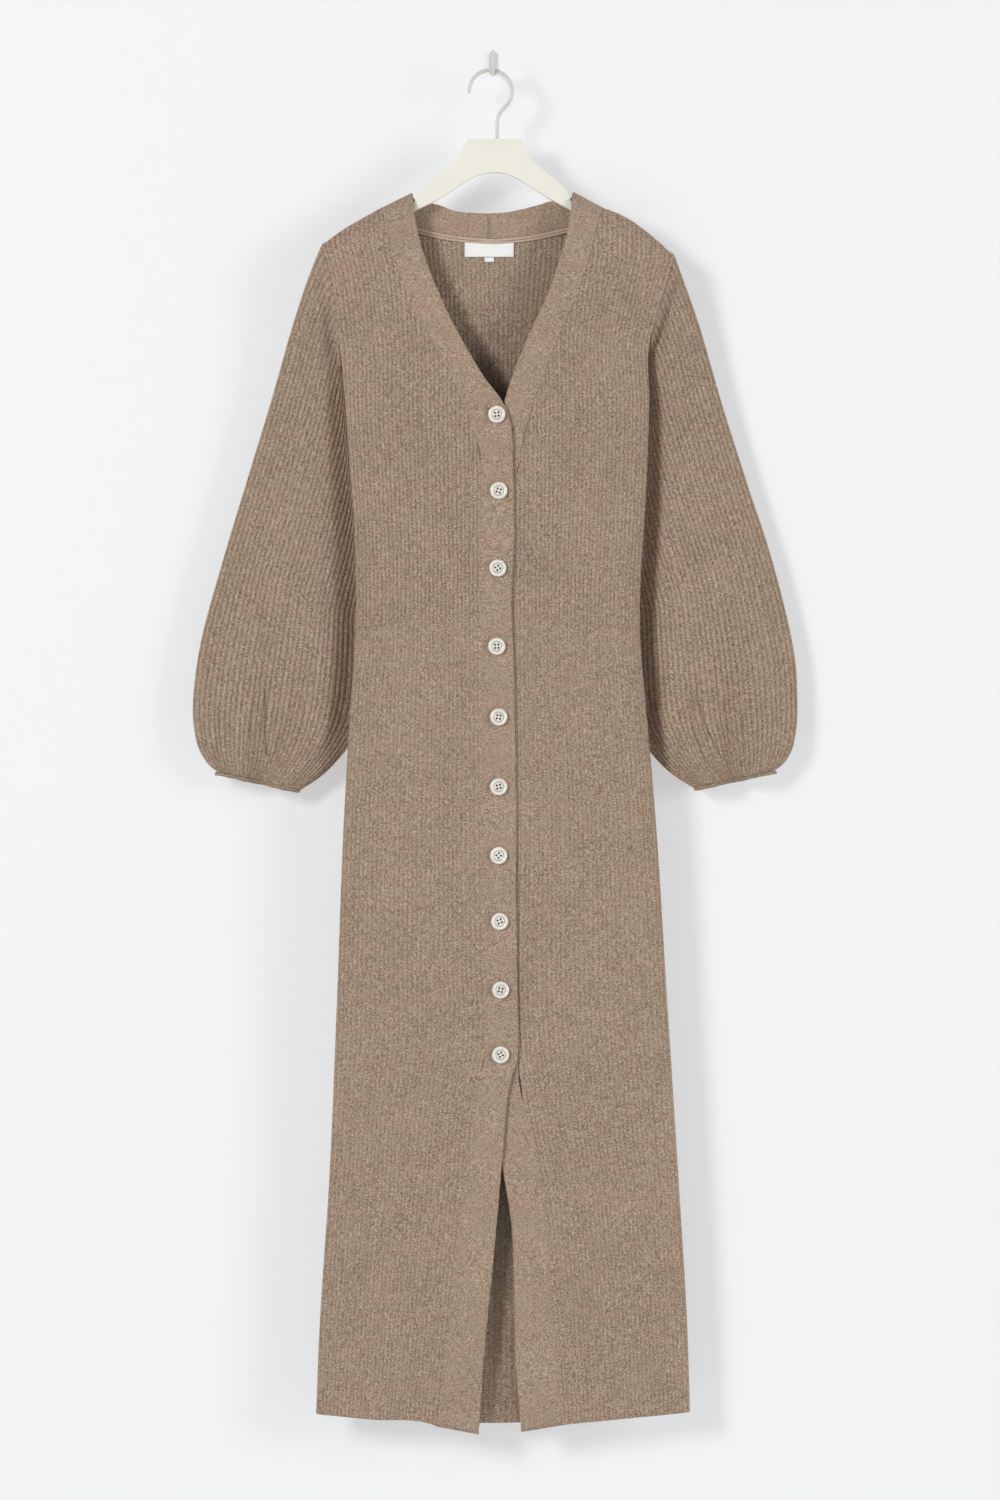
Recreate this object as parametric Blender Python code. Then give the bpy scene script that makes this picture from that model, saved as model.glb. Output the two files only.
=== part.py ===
"""A long rib-knit dress that buttons down the front, on a painted wooden hanger and a wall hook.

Millimetres in the tables, metres in the model. +X is to the viewer's right, +Y goes into the wall
and +Z is up. The origin is the middle of the wall hook's flat back, on the wall.
The cloth is described by one form, a flattened tube with a front and a back face, and each cut
piece is a wall on that form. Left and right are the viewer's.
"""
import math

import bmesh
import bpy
import numpy as np

MM = 0.001

# ---------------------------------------------------------------- driving sizes, millimetres
KNIT_WALL = 2.2            # ribbed cloth, between the ribs
RIB_RISE = 0.8             # how far a rib stands above the cloth
BAND_WALL = 2.6            # smooth knit band
SEAM_GAP = 0.3
RIDGE_EASE = 1.2           # the band is this much narrower where it crosses the shoulder line
BAND_GAP = 0.6             # the band's seam runs across the ribs
SQUARENESS = 2.5           # 2 is an ellipse, more is a flatter tube with tighter side folds
SHOULDER_SQUARENESS = 8.0
RIDGE_DEPTH = 20.0         # height over which the cloth rounds off the shoulder line
RIDGE_ROUNDNESS = 1.4      # 1 is a tent over the hanger, 2 a round top
OVERLAP_LIFT = 4.0         # the left front lies on the right one

FRONT_RIBS = 33            # on each front panel
BACK_RIBS = 72
SLEEVE_RIBS = 62
# the plain inside has one face behind this many outside ones
INSIDE_STEP = {"bodice": 4, "skirt": 12, "sleeve": 8}
NECK_CORNER = (93.0, 126.0)
NECK_CORNER_HEIGHT = 60.0  # the rounding rows lie closer together in the corner of neck and shoulder

BUTTON_RADIUS = 9.0
BUTTON_THICKNESS = 3.2
BUTTON_SIDES = 12

HANGER_THICKNESS = 10.0
HANGER_Y = -38.0
WIRE_RADIUS = 2.0
HOOK_RADIUS = 22.5
HOOK_CENTRE = (-2.5, -33.5)
WALL_WIRE_RADIUS = 1.5
PLATE_SIZE = (9.0, 26.0, 2.0)

# ---------------------------------------------------------------- the body's form
# height, distance of the front and back from the middle plane, place of the middle plane
BODY_DEPTHS = (
    # z, front, back, middle_y
    (-100, 12, 11, -38), (-200, 13, 12, -38), (-324, 19, 15, -40), (-450, 23, 17, -42),
    (-600, 22, 17, -43), (-800, 21, 16, -43), (-1100, 12, 8.5, -42), (-1445, 9, 6, -40),
)
# the side folds below the underarm, and the armhole above it
SIDE_LEFT = (
    # z, x
    (-196, -181), (-216, -174.5), (-300, -161.5), (-324, -159), (-412, -151), (-527, -144),
    (-601, -144), (-674, -149), (-788, -156), (-989, -164), (-1191, -173),
    (-1325, -182), (-1445, -187),
)
SIDE_RIGHT = (
    # z, x
    (-207, 190), (-227, 184), (-282, 168.5), (-298, 165), (-359, 164), (-464, 160), (-569, 154),
    (-601, 154), (-674, 160), (-788, 170), (-989, 183), (-1191, 196),
    (-1325, 204), (-1445, 208),
)
ARMHOLE_LEFT = {"top": -196.0, "bend": -300.0, "bottom": -324.0, "depth": 13.0}
ARMHOLE_RIGHT = {"top": -207.0, "bend": -282.0, "bottom": -298.0, "depth": 13.0}
# the line of the shoulders, and of the hanger between them
RIDGE = (
    # x, z
    (-181, -196), (-164, -183), (-136, -166), (-112, -153), (-85, -140), (-70, -129),
    (-41, -108), (-27, -84), (27, -84), (41, -106), (58, -120), (84, -139), (110, -153),
    (142, -169), (166, -187), (190, -207),
)
# the waist seam is highest in the middle: its height there, its drop at the sides, and its curve
FRONT_WAIST = {"middle": -583.0, "drop": 17.0, "curve": 1.3}
BACK_WAIST = {"middle": -590.0, "drop": 9.5, "curve": 2.0}
WAIST_HALF_WIDTH = 148.0
WAIST_LEVEL = -600.0
HEM = (
    # x, z
    (-187, -1425), (-129, -1430), (-62, -1436), (-45, -1443), (-15, -1445),
    (30, -1443), (79, -1435), (134, -1430), (208, -1423),
)
BACK_HEM = ((-187, -1425), (0, -1435), (208, -1423))
HEM_LEVEL = -1435.0
CENTRE_BACK = -4.0
# soft upright folds of the skirt: where, how wide, how deep at the hem, and where they die out
SKIRT_FOLDS = (
    # face, x at hem, width, depth at hem, top z
    ("front", -128, 46, 3.0, -820),
    ("front", -88, 40, -2.4, -980),
    ("front", 96, 44, 2.6, -900),
    ("front", 146, 42, -2.6, -780),
    ("back", -110, 60, 4.0, -760),
    ("back", -30, 54, -3.5, -860),
    ("back", 66, 60, 4.0, -800),
    ("back", 140, 46, -3.0, -900),
)

# ---------------------------------------------------------------- the bands
# free edge and seam of each band, from the placket up the neck and along the back neck
LEFT_NECK = (
    # free edge x, z, seam x, z
    (21, -430, -13, -430), (20, -391, -17, -401), (11, -363, -25, -375), (-5, -341, -36, -350),
    (-20, -318, -49, -326), (-35, -291, -63, -301), (-48, -266, -76, -277),
    (-59, -241, -88, -253), (-68, -218, -98, -229), (-75, -197, -104, -208), (-80, -178, -108, -192),
    (-83, -160, -112, -176), (-84, -149, -115, -166), (-84.8, -143, -117, -160), (-85, -140, -118, -156.2),
)
LEFT_BACK_NECK = (
    (-84.8, -142.5, -116, -160), (-84, -145, -110, -165), (-81, -146.5, -102, -169.5),
    (-73, -148, -91, -173.5), (-57, -152, -72, -179), (-37, -159, -42, -185), (-4, -161, -4, -188),
)
RIGHT_NECK = (
    (-9, -440, 25, -440), (-6, -420, 28, -425), (1, -395, 32, -401), (10, -367, 39, -375),
    (18, -341, 47, -350), (27, -316, 56, -325), (38, -290, 66, -300), (49, -266, 77, -276),
    (60, -241, 87, -252), (68, -217, 96, -228), (74, -197, 102, -208), (79, -178, 106, -192),
    (82, -160, 110, -176), (83.2, -149, 113, -166), (83.9, -142, 115, -160), (84, -139, 116, -156),
)
RIGHT_BACK_NECK = (
    (83.8, -141.5, 114, -160), (83, -144, 108, -165), (80, -145.5, 100, -169.5),
    (72, -146.5, 89, -173.5), (58, -149, 70, -178.5), (40, -154, 44, -184), (18, -159, 20, -187),
    (-4, -161, -4, -188),
)
LEFT_PLACKET = (
    # z, free edge x, seam x
    (-430, 21, -13), (-500, 22.5, -13), (-569, 19.5, -13), (-600, 20.5, -13), (-680, 23, -12.2),
    (-800, 24, -11), (-947, 25, -9.8), (-1045, 26.5, -9), (-1068, 20, -14), (-1104, 14, -22),
    (-1190, 7, -30.5), (-1287, -2, -41), (-1370, -10, -50), (-1445, -15, -58),
)
RIGHT_PLACKET = (
    (-440, -9, 25), (-520, -10, 25), (-600, -10, 25), (-800, -10, 25.5), (-1045, -10, 26),
    (-1104, -3, 34), (-1150, 6, 43), (-1190, 14, 51), (-1235, 20, 56), (-1287, 22, 62),
    (-1358, 23, 67), (-1410, 27, 71), (-1443, 30, 73),
)
BUTTONS = (
    # x, z
    (4, -375), (6, -455), (5, -536), (4, -618), (6, -692),
    (6, -765), (6, -837), (7, -906), (8, -978), (8, -1046),
)
LABEL = {"x0": -30.0, "x1": 22.0, "top": -190.0, "bottom": -207.0, "thickness": 0.6}
TAB = {"x0": -9.0, "x1": 1.0, "top": -207.4, "bottom": -212.0, "thickness": 0.6}

# ---------------------------------------------------------------- the sleeves
# outer and inner fold of each section, its middle plane and half its depth
LEFT_SLEEVE = (
    # outer x, z, inner x, z, middle_y, half_depth
    (-181, -196, -160.4, -324, -38, 13),
    (-194.5, -230, -159.6, -343, -34, 13),
    (-212.5, -284, -151.5, -392, -25.5, 12.5),
    (-234, -359, -143, -454, -21, 13),
    (-259, -441, -136.5, -518, -19, 13),
    (-285, -527, -132.5, -594, -18.5, 14),
    (-307.5, -610, -131, -655, -18.5, 15),
    (-316.5, -676, -137, -694, -19.5, 15),
    (-313, -716, -153, -723, -20, 13),
    (-303, -738, -177, -750, -20, 11),
    (-292, -748.5, -203, -768.5, -20, 9),
)
RIGHT_SLEEVE = (
    # outer x, z, inner x, z, middle_y, half_depth
    (190, -207, 166.4, -298, -38, 13),
    (201, -234, 167.2, -320, -34, 13),
    (219, -285, 162, -385, -25.5, 12.5),
    (240.5, -359, 154.5, -451, -21, 13),
    (266.5, -441, 147.5, -516, -19, 13),
    (294.5, -527, 142, -594, -18.5, 14),
    (316.5, -618, 141, -659, -18.5, 15),
    (321, -680, 147, -697, -19.5, 15),
    (317.5, -718, 165, -727, -20, 13),
    (308.5, -738, 187, -750, -20, 11),
    (298, -747.5, 211, -766, -20, 9),
)
SLEEVE_STATIONS = (0.0, 0.6, 2.0, 4.0, 6.4, 8.0, 9.0, 10.0)   # the rows of the tables that are modelled
CUFF_SIDES = 28
PRESSED_SHARE = 0.1      # of a sleeve's front depth, where the body's side presses it flat
PRESSED_REACH = 26.0     # how far out of the body's side that fades
CUFF_DROP = 4.6
CUFF_WALL = 2.6
CUFF_SECTION = (
    # outwards from the sleeve's end, share of the way down
    (0.0, 0.0), (0.6, 0.5), (0.6, 0.8), (0.0, 1.0), (-CUFF_WALL, 1.0), (-CUFF_WALL, 0.0),
)
# the soft gather above each cuff, and the creases on the hidden side
SLEEVE_FOLDS = (
    # angle round the section in turns (0 outer fold, 0.25 front), width in turns, depth, start, full
    (0.25, 0.055, 3.2, 5.6, 8.6),
    (0.17, 0.045, -1.6, 6.2, 8.8),
    (0.74, 0.06, 3.0, 5.2, 8.4),
    (0.84, 0.05, -1.8, 6.0, 8.6),
)

LEFT = {"sign": -1, "edge": SIDE_LEFT, "armhole": ARMHOLE_LEFT}
RIGHT = {"sign": 1, "edge": SIDE_RIGHT, "armhole": ARMHOLE_RIGHT}

MATERIALS = {
    # colour, metallic, roughness
    "knit": ((0.30, 0.22, 0.165, 1), 0.0, 0.95),
    "label_cloth": ((0.86, 0.86, 0.84, 1), 0.0, 0.8),
    "button_shell": ((0.72, 0.69, 0.62, 1), 0.0, 0.25),
    "painted_wood": ((0.84, 0.82, 0.74, 1), 0.0, 0.45),
    "painted_wire": ((0.85, 0.85, 0.82, 1), 0.0, 0.3),
}


# ---------------------------------------------------------------- reading the tables
def column(table, index):
    """One column of a table whose first column runs downwards in z."""
    rows = sorted(table)
    return [row[0] for row in rows], [row[index] for row in rows]


def read(table, where, index=1):
    keys, values = column(table, index)
    return float(np.interp(where, keys, values))


def smooth_step(value, start, full):
    share = min(1.0, max(0.0, (value - start) / (full - start)))
    return share * share * (3 - 2 * share)


def smooth_row(table, station):
    """A row of a table at a fractional place, on a curve through its rows."""
    last = len(table) - 1
    station = min(max(station, 0.0), float(last))
    first = min(int(station), last - 1)
    share = station - first
    before, here, there, after = (np.array(table[min(max(first + step, 0), last)], dtype=float)
                                  for step in (-1, 0, 1, 2))
    return 0.5 * (2 * here + (there - before) * share
                  + (2 * before - 5 * here + 4 * there - after) * share ** 2
                  + (3 * here - before - 3 * there + after) * share ** 3)


# ---------------------------------------------------------------- the body's form
def side_of(x):
    return LEFT if x < 0 else RIGHT


def fold_push(face, x, z):
    """How far a soft fold brings the cloth forward or back."""
    push = 0.0
    for fold_face, fold_x, width, depth, top in SKIRT_FOLDS:
        if fold_face != face:
            continue
        apart = abs(x - fold_x) / width
        if apart < 1:
            push += depth * smooth_step(-z, -top, 1445) * (0.5 + 0.5 * math.cos(math.pi * apart))
    return push


def armhole_power(side, z):
    armhole = side["armhole"]
    share = (z - armhole["bottom"]) / (armhole["top"] - armhole["bottom"])
    if share <= 0 or share >= 1:
        return 0.0
    return armhole["depth"] ** SQUARENESS * (1 - abs(2 * share - 1) ** SQUARENESS)


def depth_power(face, x, z):
    """The distance from the middle plane to the power SQUARENESS."""
    side = side_of(x)
    depth = read(BODY_DEPTHS, z, 1 if face == "front" else 2)
    reach = min(1.0, abs(x / read(side["edge"], z)))
    bottom = side["armhole"]["bottom"]
    squareness = SQUARENESS + (SHOULDER_SQUARENESS - SQUARENESS) * smooth_step(z, bottom - 30, bottom + 70)
    reach_power = reach ** squareness
    under_ridge = min(1.0, max(0.0, (read(RIDGE, x) - z) / RIDGE_DEPTH))
    roundness = (1 - (1 - under_ridge) ** RIDGE_ROUNDNESS) ** (1 / RIDGE_ROUNDNESS)
    full = (depth * roundness) ** SQUARENESS
    return full * (1 - reach_power) + armhole_power(side, z) * reach_power


def lift(piece, x):
    """The left front is lifted where it lies over the right one."""
    if piece != "over":
        return 0.0
    return OVERLAP_LIFT * smooth_step(x, -62, -18)


def body_point(face, x, z, piece=""):
    """A point on the outside of the cloth, and the direction out of it."""
    forward = -1 if face == "front" else 1
    power = max(0.0, depth_power(face, x, z))
    depth = power ** (1 / SQUARENESS)
    y = read(BODY_DEPTHS, z, 3) + forward * (depth + SEAM_GAP / 2)
    fade = min(1.0, depth / 12)
    y += forward * (fold_push(face, x, z) * fade + lift(piece, x))
    step = 0.5
    slope_x = (depth_power(face, x + step, z) - depth_power(face, x - step, z)) / (2 * step)
    slope_z = (depth_power(face, x, z + step) - depth_power(face, x, z - step)) / (2 * step)
    normal = np.array([-slope_x, forward * SQUARENESS * depth ** (SQUARENESS - 1), -slope_z])
    if np.linalg.norm(normal) < 1e-6:
        normal = np.array([float(side_of(x)["sign"]), 0.0, 0.0])
    return np.array([x, y, z]), normal / np.linalg.norm(normal)


def across(face, side, start_x, z, share):
    """x at a share of the way from start_x to the side fold, along the cloth at this height."""
    end_x = read(side["edge"], z)
    straight = start_x + (end_x - start_x) * share
    bottom = side["armhole"]["bottom"]
    bent = 1 - smooth_step(z, bottom - 60, bottom + 20)
    if bent == 0:
        return straight
    turns = np.linspace(0, 1, 25)
    places = start_x + (end_x - start_x) * np.sin(turns * math.pi / 2)
    depths = [max(0.0, depth_power(face, x, z)) ** (1 / SQUARENESS) for x in places]
    lengths = np.concatenate([[0], np.cumsum(np.hypot(np.diff(places), np.diff(depths)))])
    along = float(np.interp(share * lengths[-1], lengths, places))
    return straight + (along - straight) * bent


# ---------------------------------------------------------------- turning grids into solids
def new_object(name, mesh_maker, material):
    mesh = bpy.data.meshes.new(name)
    built = bmesh.new()
    mesh_maker(built)
    bmesh.ops.recalc_face_normals(built, faces=built.faces)
    bmesh.ops.triangulate(built, faces=[face for face in built.faces if len(face.verts) > 4])
    built.to_mesh(mesh)
    built.free()
    made = bpy.data.objects.new(name, mesh)
    bpy.context.scene.collection.objects.link(made)
    made.data.materials.append(MATERIAL_OF[material])
    return made


def add_points(built, points):
    return [built.verts.new([float(value) * MM for value in point]) for point in points]


def add_quads(built, first, second):
    for index in range(len(first) - 1):
        built.faces.new((first[index], first[index + 1], second[index + 1], second[index]))


def add_zip(built, fine, coarse, kept):
    """Triangles between a fine row and a coarse one, whose points stand at the kept places of the fine."""
    at_coarse = 0
    for at_fine in range(len(fine) - 1):
        middle = (kept[at_coarse] + kept[at_coarse + 1]) / 2 if at_coarse + 1 < len(kept) else len(fine)
        if at_fine + 0.5 > middle:
            built.faces.new((fine[at_fine], coarse[at_coarse + 1], coarse[at_coarse]))
            at_coarse += 1
        built.faces.new((fine[at_fine], fine[at_fine + 1], coarse[at_coarse]))
    if at_coarse + 1 < len(kept):
        built.faces.new((fine[-1], coarse[at_coarse + 1], coarse[at_coarse]))


def wall_from_grids(built, outside, inside, kept, closed, fine_rim):
    """A wall with ribs outside and a plain inside, which has only the kept columns.

    With a fine rim the inside's top row keeps all its columns, where a seam cuts across the ribs.
    """
    def row(points):
        made = add_points(built, points)
        return made + made[:1] if closed else made

    outer = [row(points) for points in outside]
    ends = kept + [len(outside[0])] if closed else kept
    inner = [row([points[index] for index in kept]) for points in inside[1:]]
    for above, below in zip(outer, outer[1:]):
        add_quads(built, above, below)
    for above, below in zip(inner, inner[1:]):
        add_quads(built, above, below)
    if fine_rim:
        top = row(inside[0])
        add_quads(built, top, outer[0])
        add_zip(built, top, inner[0], ends)
    else:
        top = row([inside[0][index] for index in kept])
        add_quads(built, top, inner[0])
        add_zip(built, outer[0], top, ends)
    add_zip(built, outer[-1], inner[-1], ends)
    if not closed:
        for end in (0, -1):
            outer_side = [points[end] for points in outer]
            inner_side = [top[end]] + [points[end] for points in inner]
            add_quads(built, outer_side, inner_side)


def rib_height(index, row, rows):
    """Ribs stand on every second column, and are pressed flat in the seams at top and bottom."""
    return RIB_RISE if index % 2 and 0 < row < rows else 0.0


# ---------------------------------------------------------------- the body's panels
BODICE_DROPS = (0.0, 5.0, 20.0)           # rows that round the shoulder, measured down from the top
CHEST = -450.0
BACK_SKIRT_ROWS = 4
FRONT_SKIRT_LEVELS = (-800.0, -1045.0, -1104.0, -1190.0, -1287.0)


def seam_line(rows):
    """x and z of a band's seam, as a table."""
    return [(row[2], row[3]) for row in rows]


def top_of_column(face, side, start_x, share, neck_seam):
    """The height where a rib meets the neck band's seam or the shoulder."""
    def over(z):
        x = across(face, side, start_x, z, share)
        return z - min(read(RIDGE, x), read(neck_seam, x))

    low, high = -560.0, -120.0
    for _ in range(26):
        middle = (low + high) / 2
        if over(middle) > 0:
            high = middle
        else:
            low = middle
    return low


def panel_rows(face, side, piece, start_x, shares, heights, level_row):
    """Points and directions of a panel. Heights gives each column's rows from the top down, and the
    row in the waist seam has level directions, so that the walls above and below it meet squarely."""
    points, normals = [], []
    for share, column_heights in zip(shares, heights):
        for row, z in enumerate(column_heights):
            if row == len(points):
                points.append([])
                normals.append([])
            x = across(face, side, start_x(z), z, share)
            point, normal = body_point(face, x, z, piece)
            if share == 1 and z > side["armhole"]["bottom"]:
                point[0] -= side["sign"] * SEAM_GAP / 2
            if z == column_heights[level_row]:
                normal = np.array([normal[0], normal[1], 0.0]) / math.hypot(normal[0], normal[1])
            points[row].append(point)
            normals[row].append(normal)
    return points, normals


def waist_height(waist, face, side, start_x, share):
    """The height of the waist seam under one column of a panel."""
    x = across(face, side, start_x(waist["middle"]), waist["middle"], share)
    return waist["middle"] - waist["drop"] * abs(x / WAIST_HALF_WIDTH) ** waist["curve"]


def bodice_heights(face, side, start_x, shares, neck_seam, waist):
    heights = []
    for share in shares:
        top = top_of_column(face, side, start_x(-300.0), share, neck_seam)
        bottom = waist_height(waist, face, side, start_x, share) + SEAM_GAP / 2
        armhole = side["armhole"]
        levels = (armhole["bend"], armhole["bottom"], CHEST)
        parts = [(level - armhole["top"]) / (WAIST_LEVEL - armhole["top"]) for level in levels]
        lower = [top + (bottom - top) * part for part in parts] + [bottom]
        below_ridge = read(RIDGE, across(face, side, start_x(top), top, share)) - top
        closer = 1.0 if below_ridge < 0.5 else min(1.0, max(0.2, below_ridge / NECK_CORNER_HEIGHT))
        heights.append([top - drop * closer for drop in BODICE_DROPS] + lower)
    return heights


def skirt_heights(face, side, start_x, shares, waist, hem):
    """A front's rows are where its seam with the band turns, a back's are evenly spaced."""
    parts = list(np.linspace(0, 1, BACK_SKIRT_ROWS + 1))[1:-1]
    if face == "front":
        first = waist_height(waist, face, side, start_x, 0.0)
        last = read(hem, start_x(HEM_LEVEL))
        parts = [(level - first) / (last - first) for level in FRONT_SKIRT_LEVELS]
    heights = []
    for share in shares:
        top = waist_height(waist, face, side, start_x, share) - SEAM_GAP / 2
        bottom = read(hem, across(face, side, start_x(HEM_LEVEL), HEM_LEVEL, share))
        heights.append([top] + [top + (bottom - top) * part for part in parts] + [bottom])
    return heights


def kept_columns(part, top_row):
    """The columns that the plain inside keeps: more of them where the neck's seam runs down steeply."""
    last = len(top_row) - 1
    kept = []
    for index, point in enumerate(top_row):
        in_corner = part == "bodice" and NECK_CORNER[0] < abs(point[0]) < NECK_CORNER[1]
        if index % INSIDE_STEP[part] == 0 or index == last or in_corner:
            kept.append(index)
    return kept


def make_panel(face, part, word, halves):
    """A panel from one or two halves, given from left to right."""
    outside, inside = [], []
    rows = len(halves[0]["points"]) - 1
    for row in range(rows + 1):
        outside_row, inside_row = [], []
        for half in halves:
            for index, (point, normal) in enumerate(zip(half["points"][row], half["normals"][row])):
                if half["skip_first"] and index == 0:
                    continue
                outside_row.append(point + normal * rib_height(index, row, rows))
                inside_row.append(point - normal * KNIT_WALL)
        outside.append(outside_row)
        inside.append(inside_row)
    kept = kept_columns(part, outside[0])
    name = "_".join(piece for piece in (face, part, word) if piece)
    new_object(name, lambda built: wall_from_grids(built, outside, inside, kept, False, part == "bodice"),
               "knit")


def half_panel(face, side, piece, start_x, ribs, heights_of, level_row, reverse=False, skip_first=False):
    shares = [index / (2 * ribs) for index in range(2 * ribs + 1)]
    heights = heights_of(face, side, start_x, shares)
    points, normals = panel_rows(face, side, piece, start_x, shares, heights, level_row)
    if reverse:
        points = [row[::-1] for row in points]
        normals = [row[::-1] for row in normals]
    return {"points": points, "normals": normals, "skip_first": skip_first}


def placket_seam(table):
    """The x of a panel's edge beside the band, straight up above the placket."""
    top = table[0][0]

    def seam_x(z):
        return read(table, min(z, top), 2)

    return seam_x


def corner_tops(half):
    """x and z of the column tops in the corner of neck and shoulder, from the ridge down."""
    tops = [(point[0], point[2]) for point in half["points"][0]
            if abs(point[0]) > NECK_CORNER[0] and read(RIDGE, point[0]) - point[2] > 0.5]
    return sorted(tops, key=lambda top: -top[1])


def make_body_panels():
    """The panels, and for each band's seam the places where the ribs end in the corner of the neck."""
    corners = {}
    front_neck = {"left": sorted(seam_line(LEFT_NECK)), "right": sorted(seam_line(RIGHT_NECK))}
    back_neck = sorted(set(seam_line(LEFT_BACK_NECK) + seam_line(RIGHT_BACK_NECK)))
    fronts = (("left", LEFT, LEFT_PLACKET, "over"), ("right", RIGHT, RIGHT_PLACKET, ""))
    for word, side, placket, piece in fronts:
        start_x = placket_seam(placket)
        neck = front_neck[word]

        def bodice(face, half, start, shares, neck=neck):
            return bodice_heights(face, half, start, shares, open_neck(neck), FRONT_WAIST)

        def skirt(face, half, start, shares):
            return skirt_heights(face, half, start, shares, FRONT_WAIST, HEM)

        for part, heights_of, level_row in (("bodice", bodice, -1), ("skirt", skirt, 0)):
            half = half_panel("front", side, piece, start_x, FRONT_RIBS, heights_of, level_row)
            make_panel("front", part, word, [half])
            if part == "bodice":
                corners["front", word] = corner_tops(half)

    def back_bodice(face, half, start, shares):
        return bodice_heights(face, half, start, shares, open_neck(back_neck), BACK_WAIST)

    def back_skirt(face, half, start, shares):
        return skirt_heights(face, half, start, shares, BACK_WAIST, BACK_HEM)

    for part, heights_of, level_row in (("bodice", back_bodice, -1), ("skirt", back_skirt, 0)):
        halves = [half_panel("back", LEFT, "", lambda z: CENTRE_BACK, BACK_RIBS // 2, heights_of,
                             level_row, reverse=True),
                  half_panel("back", RIGHT, "", lambda z: CENTRE_BACK, BACK_RIBS // 2, heights_of,
                             level_row, skip_first=True)]
        make_panel("back", part, "", halves)
        if part == "bodice":
            for word, half in zip(("left", "right"), halves):
                corners["back", word] = corner_tops(half)
    return corners


def open_neck(seam):
    """The neck seam as a table of x and z, with no limit outside its own stretch."""
    first, last = seam[0], seam[-1]
    return [(first[0] - 0.01, 0.0)] + list(seam) + [(last[0] + 0.01, 0.0)]


# ---------------------------------------------------------------- the bands
def corner_rows(rows, tops):
    """Rows of a band at the given places of its seam."""
    by_height = sorted((row[3], row[0], row[1]) for row in rows)
    heights = [row[0] for row in by_height]
    made = []
    for x, z in tops:
        free_x, free_z = (float(np.interp(z, heights, [row[index] for row in by_height])) for index in (1, 2))
        made.append((free_x, free_z, x, z))
    return made


def band_rows(neck, back_neck, placket, front_tops, back_tops):
    """Face, free edge and seam of each row, from the hem to the centre back."""
    rows = [("front", row[1], row[0], row[2], row[0]) for row in sorted(placket)]
    up_neck = [row for row in neck[1:] if abs(row[2]) < NECK_CORNER[0]]
    up_neck += corner_rows(neck[1:], front_tops[::-1])
    down_back = corner_rows([neck[-1]] + list(back_neck), back_tops)
    down_back += [row for row in back_neck if abs(row[2]) < NECK_CORNER[0]]
    rows += [("front",) + tuple(row) for row in up_neck + [neck[-1]]]
    rows += [("back",) + tuple(row) for row in down_back]
    return rows


def band_section(row, piece):
    """Points and directions across a band, from its free edge to its seam."""
    face = row[0]
    free = np.array(row[1:3], dtype=float)
    seam = np.array(row[3:5], dtype=float)
    seam = seam + (free - seam) / np.linalg.norm(free - seam) * BAND_GAP
    return [body_point(face, *(free + (seam - free) * share), piece) for share in (0.0, 0.5, 1.0)]


def make_band(side_name, neck, back_neck, placket, piece, centre_shift, front_tops, back_tops):
    """The band from the hem round the V to the shoulder, and on from there to the centre back."""
    sections = []
    shoulder = 0
    for row in band_rows(neck, back_neck, placket, front_tops, back_tops):
        section = band_section(row, piece)
        on_ridge = row[0] == "front" and row[1:] == tuple(neck[-1])
        if on_ridge:
            shoulder = len(sections)
            for point, _ in section:
                point[1] = read(BODY_DEPTHS, point[2], 3)
            section[-1][0][0] += math.copysign(RIDGE_EASE, -section[-1][0][0])
        sections.append(section)
    for point, _ in sections[-1]:
        point[0] += centre_shift

    outside = [[point for point, _ in section] for section in sections]
    inside = [[point - normal * BAND_WALL for point, normal in section] for section in sections]
    new_object("band_" + side_name,
               lambda built: band_wall(built, outside[:shoulder + 1], inside[:shoulder + 1]), "knit")
    outside, inside = outside[shoulder:], inside[shoulder:]
    for grid in (outside, inside):
        grid[0] = [point + (after - point) * SEAM_GAP / np.linalg.norm(after - point)
                   for point, after in zip(grid[0], grid[1])]
    new_object("neck_band_" + side_name, lambda built: band_wall(built, outside, inside), "knit")


def band_wall(built, outside, inside):
    """A closed wall between two lists of sections."""
    outer = [add_points(built, section) for section in outside]
    inner = [add_points(built, section) for section in inside]
    for first, second in zip(range(len(outer) - 1), range(1, len(outer))):
        add_quads(built, outer[first], outer[second])
        add_quads(built, inner[first], inner[second])
        for end in (0, -1):
            built.faces.new((outer[first][end], outer[second][end], inner[second][end], inner[first][end]))
    for end in (0, -1):
        add_quads(built, outer[end], inner[end])


# ---------------------------------------------------------------- the sleeves
def loop_places(ratio, count):
    """Angles that space points evenly round a flattened section."""
    angles = np.linspace(0, 2 * math.pi, 721)
    along, deep = superellipse(angles)
    lengths = np.concatenate([[0], np.cumsum(np.hypot(np.diff(along), np.diff(deep) * ratio))])
    return np.interp(np.arange(count) / count * lengths[-1], lengths, angles)


def superellipse(angles):
    along = np.sign(np.cos(angles)) * np.abs(np.cos(angles)) ** (2 / SQUARENESS)
    deep = np.sign(np.sin(angles)) * np.abs(np.sin(angles)) ** (2 / SQUARENESS)
    return along, deep


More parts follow.
